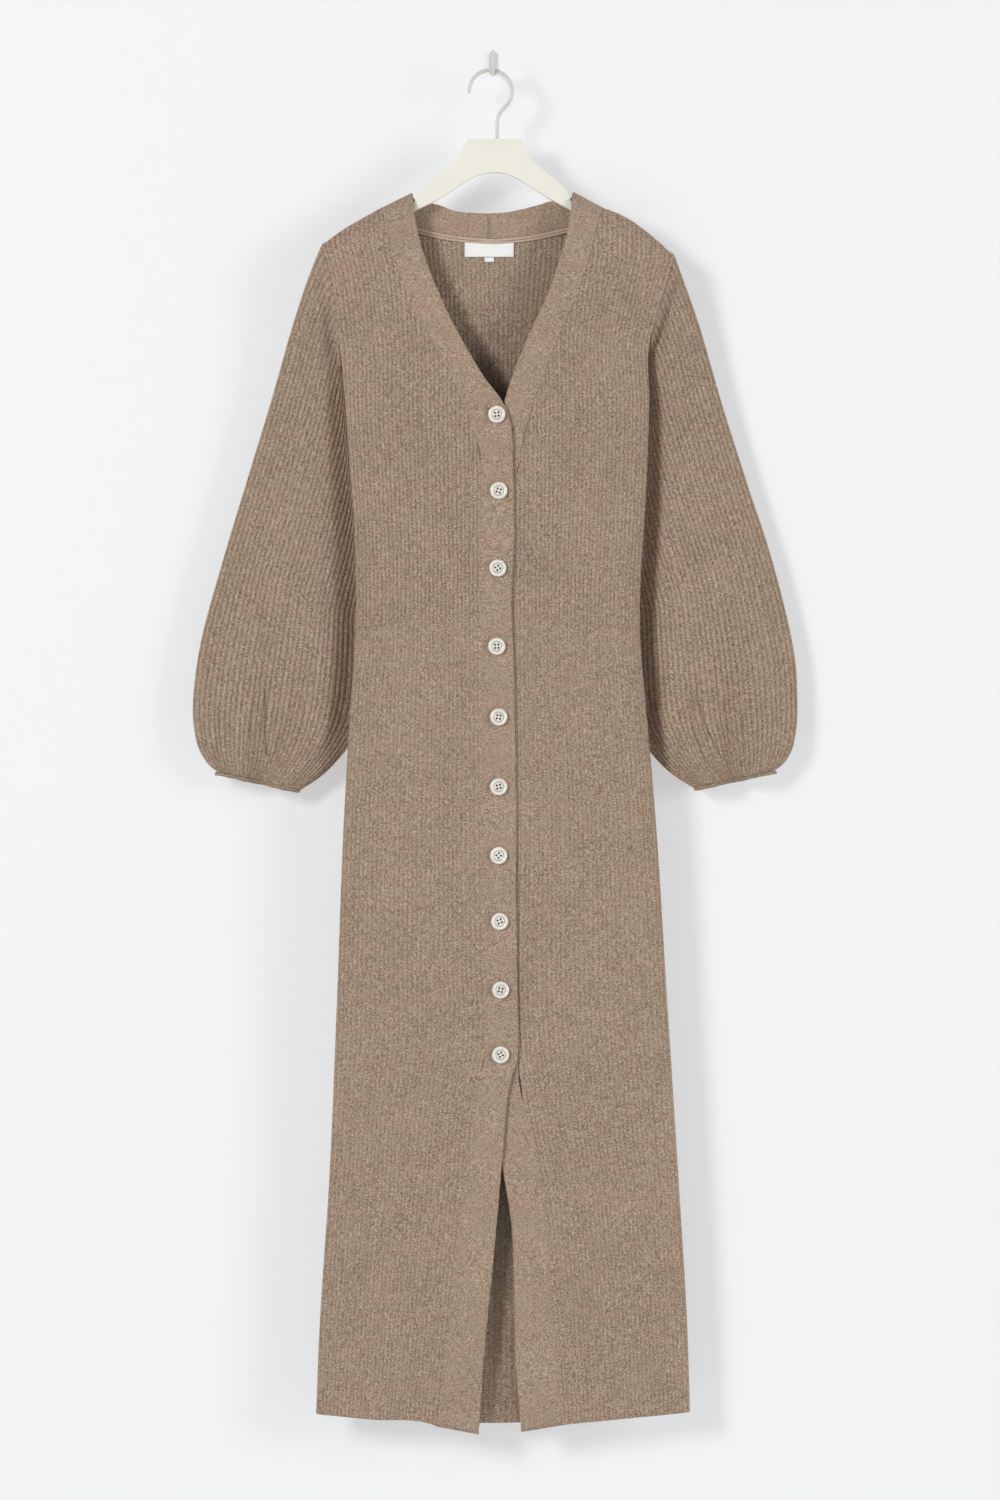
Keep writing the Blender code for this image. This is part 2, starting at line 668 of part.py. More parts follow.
def sleeve_point(table, side, station, angle):
    """A point on the outside of a sleeve. Angle 0 is the outer fold, a quarter turn the front."""
    outer_x, outer_z, inner_x, inner_z, middle_y, half_depth = smooth_row(table, station)
    along, deep = superellipse(np.array([angle]))
    share = 0.5 + 0.5 * float(along[0])
    x = inner_x + (outer_x - inner_x) * share
    z = inner_z + (outer_z - inner_z) * share
    y = middle_y - half_depth * float(deep[0])
    if deep[0] > 0:
        beside = side["sign"] * (x - read(side["edge"], z))
        pressed = (1 - PRESSED_SHARE) * (1 - smooth_step(beside, -2, PRESSED_REACH)) * smooth_step(station, 0.8, 2.2)
        y += half_depth * float(deep[0]) * pressed
    if station < 2:
        follow = (1 - station / 2) ** 2
        bottom, top = table[0][3], table[0][1]
        height = bottom + (top - bottom) * share
        straight = table[0][2] + (table[0][0] - table[0][2]) * share
        x += (read(side["edge"], height) + side["sign"] * SEAM_GAP - straight) * follow * min(1, 4 * share)
        body_middle = read(BODY_DEPTHS, height, 3)
        y += (body_middle - table[0][4]) * follow
    turn = angle / (2 * math.pi)
    for place, width, depth, start, full in SLEEVE_FOLDS:
        apart = abs((turn - place + 0.5) % 1 - 0.5)
        if apart < width:
            dip = depth * smooth_step(station, start, full) * (0.5 + 0.5 * math.cos(math.pi * apart / width))
            y += dip * (1 if deep[0] > 0 else -1)
    return np.array([x, y, z])


def sleeve_grid(table, side, stations, count):
    """Rows of points and of directions out of the cloth."""
    points, normals = [], []
    for station in stations:
        row = smooth_row(table, station)
        width = math.hypot(row[0] - row[2], row[1] - row[3]) / 2
        angles = loop_places(row[5] / width, count)
        points.append([sleeve_point(table, side, station, angle) for angle in angles])
        ahead, behind = min(station + 0.05, len(table) - 1.0), max(station - 0.05, 0.0)
        row_normals = []
        for index, angle in enumerate(angles):
            round_it = (sleeve_point(table, side, station, angle + 0.04)
                        - sleeve_point(table, side, station, angle - 0.04))
            down_it = (sleeve_point(table, side, ahead, angle) - sleeve_point(table, side, behind, angle))
            normal = np.cross(round_it, down_it)
            centre = (np.array([row[0], 0, row[1]]) + np.array([row[2], 0, row[3]])) / 2 + np.array([0, row[4], 0])
            if np.dot(normal, points[-1][index] - centre) < 0:
                normal = -normal
            row_normals.append(normal / np.linalg.norm(normal))
        normals.append(row_normals)
    return points, normals


def make_sleeve(name, table, side):
    count = 2 * SLEEVE_RIBS
    points, normals = sleeve_grid(table, side, SLEEVE_STATIONS, count)
    for normal in normals[0]:
        if normal[0] * side["sign"] > 0:
            normal[0] = 0.0
            normal /= np.linalg.norm(normal)
    rows = len(SLEEVE_STATIONS) - 1
    outside = [[point + normal * rib_height(index, row, rows)
                for index, (point, normal) in enumerate(zip(points[row], normals[row]))]
               for row in range(rows + 1)]
    inside = [[point - normal * KNIT_WALL for point, normal in zip(points[row], normals[row])]
              for row in range(rows + 1)]
    kept = list(range(0, count, INSIDE_STEP["sleeve"]))
    new_object(name, lambda built: wall_from_grids(built, outside, inside, kept, True, False), "knit")


def make_cuff(name, table, side):
    """A narrow rolled edge, 0.3 mm below the sleeve's end."""
    last = len(table) - 1.0
    points, _ = sleeve_grid(table, side, [last - 0.02, last], CUFF_SIDES)
    ends, before = np.array(points[1]), np.array(points[0])
    run = (ends - before).mean(axis=0)
    run /= np.linalg.norm(run)
    centre = ends.mean(axis=0)
    out = ends - centre
    out /= np.linalg.norm(out, axis=1)[:, None]

    def build(built):
        rings = []
        for outward, drop in CUFF_SECTION:
            ring = ends + out * outward + run * (SEAM_GAP + CUFF_DROP * drop)
            made = add_points(built, ring)
            rings.append(made + made[:1])
        for first, second in zip(rings, rings[1:] + rings[:1]):
            add_quads(built, first, second)

    new_object(name, build, "knit")


# ---------------------------------------------------------------- small pieces
def turned(built, origin, axis, across_x, profile, sides):
    """A turned solid: the profile's rows are radius and height, from the bottom's centre up."""
    across_y = np.cross(axis, across_x)
    rings = []
    for radius, height in profile:
        if radius == 0:
            rings.append(add_points(built, [origin + axis * height]))
            continue
        rings.append(add_points(built, [
            origin + axis * height
            + radius * (across_x * math.cos(2 * math.pi * index / sides)
                        + across_y * math.sin(2 * math.pi * index / sides))
            for index in range(sides)]))
    for lower, upper in zip(rings, rings[1:]):
        for index in range(sides):
            after = (index + 1) % sides
            if len(lower) == 1:
                built.faces.new((lower[0], upper[index], upper[after]))
            elif len(upper) == 1:
                built.faces.new((lower[index], lower[after], upper[0]))
            else:
                built.faces.new((lower[index], lower[after], upper[after], upper[index]))


def make_button(index, x, z):
    point, normal = body_point("front", x, z, "over")
    profile = ((0, 0), (BUTTON_RADIUS - 1, 0), (BUTTON_RADIUS, 0.9), (BUTTON_RADIUS - 1.2, BUTTON_THICKNESS),
               (BUTTON_RADIUS - 4, BUTTON_THICKNESS - 1.1), (0, BUTTON_THICKNESS - 1.3))
    across_x = np.cross(normal, [0.0, 0.0, 1.0])
    across_x /= np.linalg.norm(across_x)
    origin = point + normal * (SEAM_GAP + 0.1)
    new_object("button_%02d" % index,
               lambda built: turned(built, origin, normal, across_x, profile, BUTTON_SIDES), "button_shell")


def make_label(name, size):
    """A flat tape that lies on the inside of the back."""
    columns = 5
    xs = np.linspace(size["x0"], size["x1"], columns)

    def build(built):
        grids = []
        for away in (KNIT_WALL + SEAM_GAP + 0.3, KNIT_WALL + SEAM_GAP + 0.3 + size["thickness"]):
            grids.append([])
            for z in (size["top"], size["bottom"]):
                row = []
                for x in xs:
                    point, normal = body_point("back", x, z)
                    row.append(point - normal * away)
                grids[-1].append(add_points(built, row))
        near, far = grids
        add_quads(built, near[0], near[1])
        add_quads(built, far[0], far[1])
        add_quads(built, near[0], far[0])
        add_quads(built, near[1], far[1])
        for end in (0, -1):
            built.faces.new((near[0][end], near[1][end], far[1][end], far[0][end]))

    new_object(name, build, "label_cloth")


# ---------------------------------------------------------------- hanger, wire hook and wall hook
HANGER_TOP = (
    # x, z of the upper edge, from the left tip to the right one
    (-166, -199), (-158, -191.5), (-136, -175.5), (-112, -163), (-93, -159.5), (-84, -152), (-78.5, -140),
    (-70, -131), (-56, -121), (-41, -109), (-33, -95), (-27, -86), (-22, -84),
    (25, -84), (30, -86), (36, -96), (42, -107), (58, -120.5), (70, -130.5), (78, -140), (83.5, -152),
    (92, -159.5), (110, -163), (142, -178.5), (162, -193.5), (170, -203),
)
HANGER_BOTTOM = (
    # x, z of the lower edge, from the right tip to the left one
    (168, -209), (140, -193), (110, -175), (82, -159), (62, -148), (35, -131), (18, -122), (2, -119),
    (-15, -122), (-32, -131), (-59, -148), (-83, -160), (-110, -176), (-136, -191), (-162, -206),
)


def make_hanger():
    outline = HANGER_TOP + HANGER_BOTTOM

    def build(built):
        half = HANGER_THICKNESS / 2
        front = add_points(built, [(x, HANGER_Y - half, z) for x, z in outline])
        back = add_points(built, [(x, HANGER_Y + half, z) for x, z in outline])
        built.faces.new(front)
        built.faces.new(back)
        add_quads(built, front + front[:1], back + back[:1])

    hanger = new_object("hanger", build, "painted_wood")
    bevel = hanger.modifiers.new("rounded edges", "BEVEL")
    bevel.width = 3.2 * MM
    bevel.segments = 2
    bevel.limit_method = "ANGLE"
    bevel.angle_limit = math.radians(60)


def tube(built, path, radius, sides):
    """A round wire along a path of points, closed at both ends."""
    path = np.array(path, dtype=float)
    rings = []
    reference = np.array([0.0, 1.0, 0.0])
    for index, centre in enumerate(path):
        along = path[min(index + 1, len(path) - 1)] - path[max(index - 1, 0)]
        along /= np.linalg.norm(along)
        if abs(np.dot(along, reference)) > 0.95:
            reference = np.array([1.0, 0.0, 0.0])
        first = reference - along * np.dot(reference, along)
        first /= np.linalg.norm(first)
        second = np.cross(along, first)
        rings.append(add_points(built, [
            centre + radius * (first * math.cos(2 * math.pi * step / sides)
                               + second * math.sin(2 * math.pi * step / sides))
            for step in range(sides)]))
    for lower, upper in zip(rings, rings[1:]):
        add_quads(built, lower + lower[:1], upper + upper[:1])
    built.faces.new(rings[0])
    built.faces.new(rings[-1])


def make_hanger_hook():
    centre_x, centre_z = HOOK_CENTRE
    path = []
    for degrees in range(180, -46, -15):
        angle = math.radians(degrees)
        path.append((centre_x + HOOK_RADIUS * math.cos(angle), HANGER_Y,
                     centre_z + HOOK_RADIUS * math.sin(angle)))
    path += [(8.2, HANGER_Y, -55.0), (5.2, HANGER_Y, -61.0), (4.4, HANGER_Y, -68.0), (4.4, HANGER_Y, -83.7)]
    new_object("hanger_hook", lambda built: tube(built, path, WIRE_RADIUS, 10), "painted_wire")


def make_wall_hook():
    """A small plate with an upturned wire that carries the hanger's hook."""
    width, height, thickness = PLATE_SIZE
    seat_z = HOOK_CENTRE[1] + HOOK_RADIUS - WIRE_RADIUS - SEAM_GAP - WALL_WIRE_RADIUS - 0.2
    seat_y = HANGER_Y

    def plate(built):
        corner = width / 2
        outline = []
        for centre_z, start in ((height / 2 - corner, 0), (corner - height / 2, 180)):
            for step in range(0, 181, 20):
                angle = math.radians(start + step)
                outline.append((corner * math.cos(angle), centre_z + corner * math.sin(angle)))
        front = add_points(built, [(x, -thickness, z) for x, z in outline])
        back = add_points(built, [(x, 0.0, z) for x, z in outline])
        built.faces.new(front)
        built.faces.new(back)
        add_quads(built, front + front[:1], back + back[:1])

    def wire(built):
        path = [(0, -1.0, -8.0), (0, -8.0, -9.5), (0, -20.0, seat_z + 1.0), (0, seat_y + 5, seat_z)]
        for degrees in range(-90, -181, -15):
            angle = math.radians(degrees)
            path.append((0, seat_y + 7 * math.cos(angle), seat_z + 7 + 7 * math.sin(angle)))
        path += [(0, seat_y - 7.5, seat_z + 14), (0, seat_y - 8.5, seat_z + 24)]
        tube(built, path, WALL_WIRE_RADIUS, 8)

    hook = new_object("wall_hook", plate, "painted_wire")
    stem = new_object("wall_hook_wire", wire, "painted_wire")
    join = hook.modifiers.new("wire", "BOOLEAN")
    join.operation = "UNION"
    join.object = stem
    stem.hide_render = True
    stem.display_type = "WIRE"


# ---------------------------------------------------------------- the whole
def make_materials():
    made = {}
    for name, (colour, metallic, roughness) in MATERIALS.items():
        material = bpy.data.materials.new(name)
        material.use_nodes = True
        shader = material.node_tree.nodes["Principled BSDF"]
        shader.inputs["Base Color"].default_value = colour
        shader.inputs["Metallic"].default_value = metallic
        shader.inputs["Roughness"].default_value = roughness
        made[name] = material
    return made


for existing in list(bpy.data.objects):
    bpy.data.objects.remove(existing)
MATERIAL_OF = make_materials()
CORNERS = make_body_panels()
make_band("left", LEFT_NECK, LEFT_BACK_NECK, LEFT_PLACKET, "over", -SEAM_GAP / 2,
          CORNERS["front", "left"], CORNERS["back", "left"])
make_band("right", RIGHT_NECK, RIGHT_BACK_NECK, RIGHT_PLACKET, "", SEAM_GAP / 2,
          CORNERS["front", "right"], CORNERS["back", "right"])
for side_name, sleeve_table, sleeve_side in (("left", LEFT_SLEEVE, LEFT), ("right", RIGHT_SLEEVE, RIGHT)):
    make_sleeve("sleeve_%s" % side_name, sleeve_table, sleeve_side)
    make_cuff("cuff_%s" % side_name, sleeve_table, sleeve_side)
for number, (button_x, button_z) in enumerate(BUTTONS, start=1):
    make_button(number, button_x, button_z)
make_label("label", LABEL)
make_label("label_tab", TAB)
make_hanger()
make_hanger_hook()
make_wall_hook()
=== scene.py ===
"""A long rib-knit dress that buttons down the front, on a painted wooden hanger and a small wall hook.

Every cloth piece is a corrugated shell on the part's own form: the ribs are real, and the stitches
along them are small relief on top. The tables are in millimetres: +X is to the viewer's right,
+Y goes into the wall and +Z is up, from the middle of the wall hook's flat back.
"""
import math

import bmesh
import bpy
import numpy as np
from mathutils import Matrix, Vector


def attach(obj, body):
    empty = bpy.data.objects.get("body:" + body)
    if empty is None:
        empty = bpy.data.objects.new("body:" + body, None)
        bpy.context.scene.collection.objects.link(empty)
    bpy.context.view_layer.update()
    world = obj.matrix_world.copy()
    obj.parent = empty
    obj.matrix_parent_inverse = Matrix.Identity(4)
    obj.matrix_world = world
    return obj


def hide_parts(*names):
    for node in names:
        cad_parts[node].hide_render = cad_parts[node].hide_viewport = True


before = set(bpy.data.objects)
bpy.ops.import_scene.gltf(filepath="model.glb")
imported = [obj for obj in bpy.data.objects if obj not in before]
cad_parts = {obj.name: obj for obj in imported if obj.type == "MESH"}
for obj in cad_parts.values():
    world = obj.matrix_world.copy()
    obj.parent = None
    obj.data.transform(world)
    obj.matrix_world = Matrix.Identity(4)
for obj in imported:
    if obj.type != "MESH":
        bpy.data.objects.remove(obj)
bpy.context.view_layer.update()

MM = 0.001
SHAPES = np.random.default_rng(7)

# ---------------------------------------------------------------- sizes of the dress, millimetres
KNIT_WALL = 2.0            # from the form inwards, under the ribs that stand over it
BODICE_RIB = 0.7
SKIRT_RIB = 0.45
SLEEVE_RIB = 0.65
VALLEY_SINK = 0.15         # how far the cloth sinks under its form between ribs
RIB_START = 0.3            # share of its height that a rib has at a seam
BAND_WALL = 2.6
TUCK = 0.8                 # how far a panel's edge lies under the band or the next panel
SEAM_GAP = 0.3
SQUARENESS = 2.5           # 2 is an ellipse, more is a flatter tube with tighter side folds
SHOULDER_SQUARENESS = 8.0
SQUARE_FROM, SQUARE_FULL = -30, 70           # heights about the underarm between the two
RIDGE_DEPTH = 20.0         # height over which the cloth rounds off the shoulder line
RIDGE_ROUNDNESS = 1.4      # 1 is a tent over the hanger, 2 a round top
OVERLAP_LIFT = 4.0         # of the left front, where it lies over the right one
OVERLAP_FROM, OVERLAP_FULL = -62, -18
SLACK_DEPTH = 12           # folds fade where the cloth is nearer than this to its middle plane
ARMHOLE_RIDGE = 1.1        # of the seam that joins a sleeve
ARMHOLE_RIDGE_AWAY = 3.0
ARMHOLE_RIDGE_WIDTH = 2.6
FRONT_RIBS = 33
BACK_RIBS = 36             # on each half of the back
SLEEVE_RIBS = 68
SLEEVE_RIB_PITCH = 5.25
RIB_PLACES = (0.0, 0.18, 0.38, 0.62, 0.82)   # where a rib's round section is sampled
RIB_SWING = 0.14           # how far a rib wanders sideways, in ribs
SLEEVE_RIB_SWING = 0.16
STITCH = 3.1               # height of one stitch
BAND_STITCH = 1.8

BODY_DEPTHS = (
    # z, front, back, middle_y
    (-100, 12, 11, -38), (-200, 13, 12, -38), (-324, 19, 15, -40), (-450, 23, 17, -42),
    (-600, 22, 17, -43), (-800, 21, 16, -43), (-1100, 12, 8.5, -42), (-1445, 9, 6, -40),
)
SIDE_LEFT = (
    # z, x
    (-196, -181), (-216, -174.5), (-300, -161.5), (-324, -159), (-412, -151), (-527, -144),
    (-601, -144), (-674, -149), (-788, -156), (-989, -164), (-1191, -173),
    (-1325, -182), (-1445, -187),
)
SIDE_RIGHT = (
    # z, x
    (-207, 191.5), (-227, 185.5), (-282, 169), (-298, 165), (-359, 164), (-464, 160), (-569, 154),
    (-601, 154), (-674, 160), (-788, 170), (-989, 183), (-1191, 196),
    (-1325, 204), (-1445, 208),
)
RIDGE = (
    # x, z
    (-181, -196), (-164, -183), (-136, -166), (-112, -153), (-85, -140), (-70, -129),
    (-41, -108), (-27, -84), (27, -84), (41, -106), (58, -120), (84, -139), (110, -153),
    (142, -167), (166, -184.5), (191.5, -207),
)
FRONT_WAIST = {"middle": -583.0, "drop": 17.0, "curve": 1.3}
BACK_WAIST = {"middle": -590.0, "drop": 9.5, "curve": 2.0}
WAIST_HALF_WIDTH = 148.0
HEM = (
    # x, z
    (-187, -1425), (-129, -1430), (-62, -1436), (-45, -1443), (-15, -1445),
    (30, -1443), (79, -1435), (134, -1430), (208, -1423),
)
BACK_HEM = ((-187, -1425), (0, -1435), (208, -1423))
HEM_LEVEL = -1435.0
LOWEST = -1445.0
CENTRE_BACK = -4.0
SKIRT_FOLDS = (
    # face, x at hem, width, depth at hem, top z
    ("front", -128, 46, 3.0, -820), ("front", -88, 40, -2.4, -980),
    ("front", 96, 44, 2.6, -900), ("front", 146, 42, -2.6, -780),
    ("back", -110, 60, 4.0, -760), ("back", -30, 54, -3.5, -860),
    ("back", 66, 60, 4.0, -800), ("back", 140, 46, -3.0, -900),
)
LEFT_NECK = (
    # free edge x, z, seam x, z
    (21, -430, -13, -430), (20, -391, -17, -401), (11, -363, -25, -375), (-5, -341, -36, -350),
    (-20, -318, -49, -326), (-35, -291, -63, -301), (-48, -266, -76, -277),
    (-59, -241, -88, -253), (-68, -218, -98, -229), (-75, -197, -104, -208), (-80, -178, -108, -192),
    (-83, -160, -112, -176), (-84, -149, -115, -166), (-84.8, -143, -117, -160), (-85, -140, -118, -156.2),
)
LEFT_BACK_NECK = (
    (-84.8, -142.5, -116, -160), (-84, -145, -110, -165), (-81, -146.5, -102, -169.5),
    (-73, -148, -91, -173.5), (-57, -152, -72, -179), (-37, -159, -42, -185), (-4, -161, -4, -188),
)
RIGHT_NECK = (
    (-9, -440, 25, -440), (-6, -420, 28, -425), (1, -395, 32, -401), (10, -367, 39, -375),
    (18, -341, 47, -350), (27, -316, 56, -325), (38, -290, 66, -300), (49, -266, 77, -276),
    (60, -241, 87, -252), (68, -217, 96, -228), (74, -197, 102, -208), (79, -178, 106, -192),
    (82, -160, 110, -176), (83.2, -149, 113, -166), (83.9, -142, 115, -160), (84, -139, 116, -156),
)
RIGHT_BACK_NECK = (
    (83.8, -141.5, 114, -160), (83, -144, 108, -165), (80, -145.5, 100, -169.5),
    (72, -146.5, 89, -173.5), (58, -149, 70, -178.5), (40, -154, 44, -184), (18, -159, 20, -187),
    (-4, -161, -4, -188),
)
LEFT_PLACKET = (
    # z, free edge x, seam x
    (-430, 21, -13), (-500, 22.5, -13), (-569, 19.5, -13), (-600, 20.5, -13), (-680, 23, -12.2),
    (-800, 24, -11), (-947, 25, -9.8), (-1045, 26.5, -9), (-1068, 20, -14), (-1104, 14, -22),
    (-1190, 7, -30.5), (-1287, -2, -41), (-1370, -10, -50), (-1445, -15, -58),
)
RIGHT_PLACKET = (
    (-440, -9, 25), (-520, -10, 25), (-600, -10, 25), (-800, -10, 25.5), (-1045, -10, 26),
    (-1104, -3, 34), (-1150, 6, 43), (-1190, 14, 51), (-1235, 20, 56), (-1287, 22, 62),
    (-1358, 23, 67), (-1410, 27, 71), (-1443, 30, 73),
)
BUTTONS = (
    # x, z, turn in degrees
    (4, -375, 8), (6, -455, -20), (5, -536, 34), (4, -618, 3), (6, -692, -9),
    (6, -765, 12), (6, -837, 40), (7, -906, 22), (8, -978, -14), (8, -1046, 28),
)
LABEL = {"x0": -30.0, "x1": 22.0, "top": -190.0, "bottom": -207.0}
TAB = {"x0": -9.0, "x1": 1.0, "top": -207.4, "bottom": -212.0}
LEFT_SLEEVE = (
    # outer x, z, inner x, z, middle_y, half_depth
    (-181, -196, -160.4, -324, -38, 13),
    (-194.5, -230, -157.3, -343, -34, 13),
    (-212.5, -284, -151.5, -392, -25.5, 12.5),
    (-234, -359, -143, -454, -21, 13),
    (-259, -441, -136.5, -518, -19, 13),
    (-285, -527, -132.5, -594, -18.5, 14),
    (-307.5, -610, -131, -655, -18.5, 15),
    (-316.5, -676, -137, -694, -19.5, 15),
    (-313, -716, -153, -723, -20, 13),
    (-303, -738, -177, -750, -20, 11),
    (-292, -748.5, -203, -768.5, -20, 9),
)
RIGHT_SLEEVE = (
    # outer x, z, inner x, z, middle_y, half_depth
    (191.5, -207, 166.4, -298, -38, 13),
    (201, -234, 164.6, -320, -34, 13),
    (219, -285, 162, -385, -25.5, 12.5),
    (240.5, -359, 154.5, -451, -21, 13),
    (266.5, -441, 147.5, -516, -19, 13),
    (294.5, -527, 142, -594, -18.5, 14),
    (316.5, -618, 141, -659, -18.5, 15),
    (321, -680, 147, -697, -19.5, 15),
    (317.5, -718, 165, -727, -20, 13),
    (308.5, -738, 187, -750, -20, 11),
    (298, -747.5, 211, -766, -20, 9),
)
SOFT_FOLDS = (
    # face, x, z of the middle, half width, half height, depth, lean (mm across for each mm up)
    ("front", -108, -425, 30, 110, -3.8, 0.10), ("front", -62, -480, 18, 90, 1.9, 0.05),
    ("front", -60, -730, 16, 130, -3.5, -0.02), ("front", -98, -760, 20, 150, 2.6, 0.03),
    ("front", -132, -700, 14, 110, -2.4, 0.08), ("front", 96, -480, 26, 100, 2.6, -0.06),
    ("front", 128, -420, 16, 90, -2.6, -0.12), ("front", 70, -720, 17, 120, -2.6, 0.02),
    ("front", 112, -760, 22, 150, 2.9, -0.03), ("front", 52, -1010, 18, 150, 1.9, 0.02),
    ("front", -100, -1060, 20, 170, -2.6, 0.02), ("front", -58, -1010, 16, 140, 1.9, 0.0),
    ("back", -60, -420, 26, 110, 3.2, 0.06), ("back", 58, -470, 24, 120, -2.9, -0.05),
    ("back", -92, -760, 22, 140, -3.2, 0.02), ("back", 20, -820, 26, 170, 2.9, 0.0),
    ("back", 104, -780, 20, 140, -2.9, -0.03),
)
SLEEVE_FOLDS = (
    # angle round the section in turns (0 outer fold, 0.25 front), width in turns, depth, start, full
    (0.25, 0.05, 13.0, 4.4, 7.0), (0.165, 0.045, -2.4, 5.0, 8.4), (0.335, 0.04, -2.4, 5.2, 8.4),
    (0.74, 0.06, 3.0, 5.2, 8.4), (0.84, 0.05, -1.8, 6.0, 8.6),
)
PRESSED_SHARE = 0.1        # of a sleeve's front depth, where the body's side presses it flat
PRESSED_FROM, PRESSED_REACH = -2, 26.0
# below the underarm a sleeve's inner fold keeps close to the body's side, then tucks in behind it
FOLD_STATIONS = (0.0, 0.2, 0.6, 2.4)
FOLD_APART = (0.8, 0.6, -1.5, -3.0)
FOLD_BACK = 6.0
CUFF_DROP = 4.6
CUFF_ROLL = 1.1            # how far its edge rolls out
CUFF_SINK = 0.9            # under the sleeve's form, where it starts
CUFF_POINTS = 160
HANGER_Y = -38.0
HANGER_THICKNESS = 10.0
HANGER_EDGE = 2.4
HOOK_RADIUS = 22.5
HOOK_CENTRE = (-2.5, -33.5)
WIRE_RADIUS = 2.0
WALL_WIRE_RADIUS = 1.5


# ---------------------------------------------------------------- reading the tables
def through(rows, steps=24):
    """A smooth curve through a table's rows, as a finer table."""
    rows = np.array(rows, dtype=float)
    last = len(rows) - 1
    places = np.linspace(0, last, last * steps + 1)
    first = np.minimum(places.astype(int), last - 1)
    share = (places - first)[:, None]
    before, here, there, after = (rows[np.clip(first + step, 0, last)] for step in (-1, 0, 1, 2))
    return 0.5 * (2 * here + (there - before) * share
                  + (2 * before - 5 * here + 4 * there - after) * share ** 2
                  + (3 * here - before - 3 * there + after) * share ** 3)


def along_key(rows):
    """The table sorted by its first column, smoothed in the others only."""
    rows = np.array(sorted(rows), dtype=float)
    keys = [np.linspace(low, high, 12, endpoint=False) for low, high in zip(rows[:-1, 0], rows[1:, 0])]
    keys = np.concatenate(keys + [rows[-1:, 0]])
    slopes = np.gradient(rows[:, 1:], rows[:, 0], axis=0)
    index = np.clip(np.searchsorted(rows[:, 0], keys, side="right") - 1, 0, len(rows) - 2)
    width = (rows[index + 1, 0] - rows[index, 0])[:, None]
    share = ((keys - rows[index, 0]) / width[:, 0])[:, None]
    low, high = rows[index, 1:], rows[index + 1, 1:]
    values = ((2 * share ** 3 - 3 * share ** 2 + 1) * low
              + (share ** 3 - 2 * share ** 2 + share) * width * slopes[index]
              + (3 * share ** 2 - 2 * share ** 3) * high
              + (share ** 3 - share ** 2) * width * slopes[index + 1])
    return np.column_stack([keys, values])


def read(table, where, index=1):
    return np.interp(where, table[:, 0], table[:, index])


def smooth_step(value, start, full):
    share = np.clip((value - start) / (full - start), 0, 1)
    return share * share * (3 - 2 * share)


DEPTHS = along_key(BODY_DEPTHS)
SHOULDER = along_key(RIDGE)
WAISTS = {"front": FRONT_WAIST, "back": BACK_WAIST}
HEMS = {"front": along_key(HEM), "back": along_key(BACK_HEM)}
# where each sleeve joins: the armhole's top and bottom, and how deep it is each way
LEFT = {"sign": -1, "edge": along_key(SIDE_LEFT), "top": -196.0, "bottom": -324.0, "depth": 13.0}
RIGHT = {"sign": 1, "edge": along_key(SIDE_RIGHT), "top": -207.0, "bottom": -298.0, "depth": 13.0}


# ---------------------------------------------------------------- the body's form
def fold_push(face, x, z):
    """The skirt's long folds, which grow from their tops down to the hem."""
    push = np.zeros(np.broadcast(x, z).shape)
    for fold_face, fold_x, width, depth, top in SKIRT_FOLDS:
        if fold_face == face:
            across_it = np.clip(np.abs(x - fold_x) / width, 0, 1)
            push = push + depth * smooth_step(-z, -top, -LOWEST) * (0.5 + 0.5 * np.cos(math.pi * across_it))
    return push


def soft_push(face, x, z):
    """Slack in the hanging cloth: broad, uneven ridges and troughs."""
    push = np.zeros(np.broadcast(x, z).shape)
    for fold_face, fold_x, fold_z, width, height, depth, lean in SOFT_FOLDS:
        if fold_face == face:
            sideways = (x - fold_x - lean * (z - fold_z)) / width
            push = push + depth * np.exp(-sideways ** 2 - ((z - fold_z) / height) ** 2)
    return push


def armhole_power(side, z):
    share = np.clip((z - side["bottom"]) / (side["top"] - side["bottom"]), 0, 1)
    return side["depth"] ** SQUARENESS * (1 - np.abs(2 * share - 1) ** SQUARENESS)


def depth_power(face, x, z):
    """The distance from the middle plane to the power SQUARENESS."""
    depth = read(DEPTHS, z, 1 if face == "front" else 2)
    left = x < 0
    edge = np.where(left, read(LEFT["edge"], z), read(RIGHT["edge"], z))
    bottom = np.where(left, LEFT["bottom"], RIGHT["bottom"])
    square = smooth_step(z, bottom + SQUARE_FROM, bottom + SQUARE_FULL)
    squareness = SQUARENESS + (SHOULDER_SQUARENESS - SQUARENESS) * square
    reach_power = np.minimum(1, np.abs(x / edge)) ** squareness
    under_ridge = np.clip((read(SHOULDER, x) - z) / RIDGE_DEPTH, 0, 1)
    roundness = (1 - (1 - under_ridge) ** RIDGE_ROUNDNESS) ** (1 / RIDGE_ROUNDNESS)
    armhole = np.where(left, armhole_power(LEFT, z), armhole_power(RIGHT, z))
    return (depth * roundness) ** SQUARENESS * (1 - reach_power) + armhole * reach_power


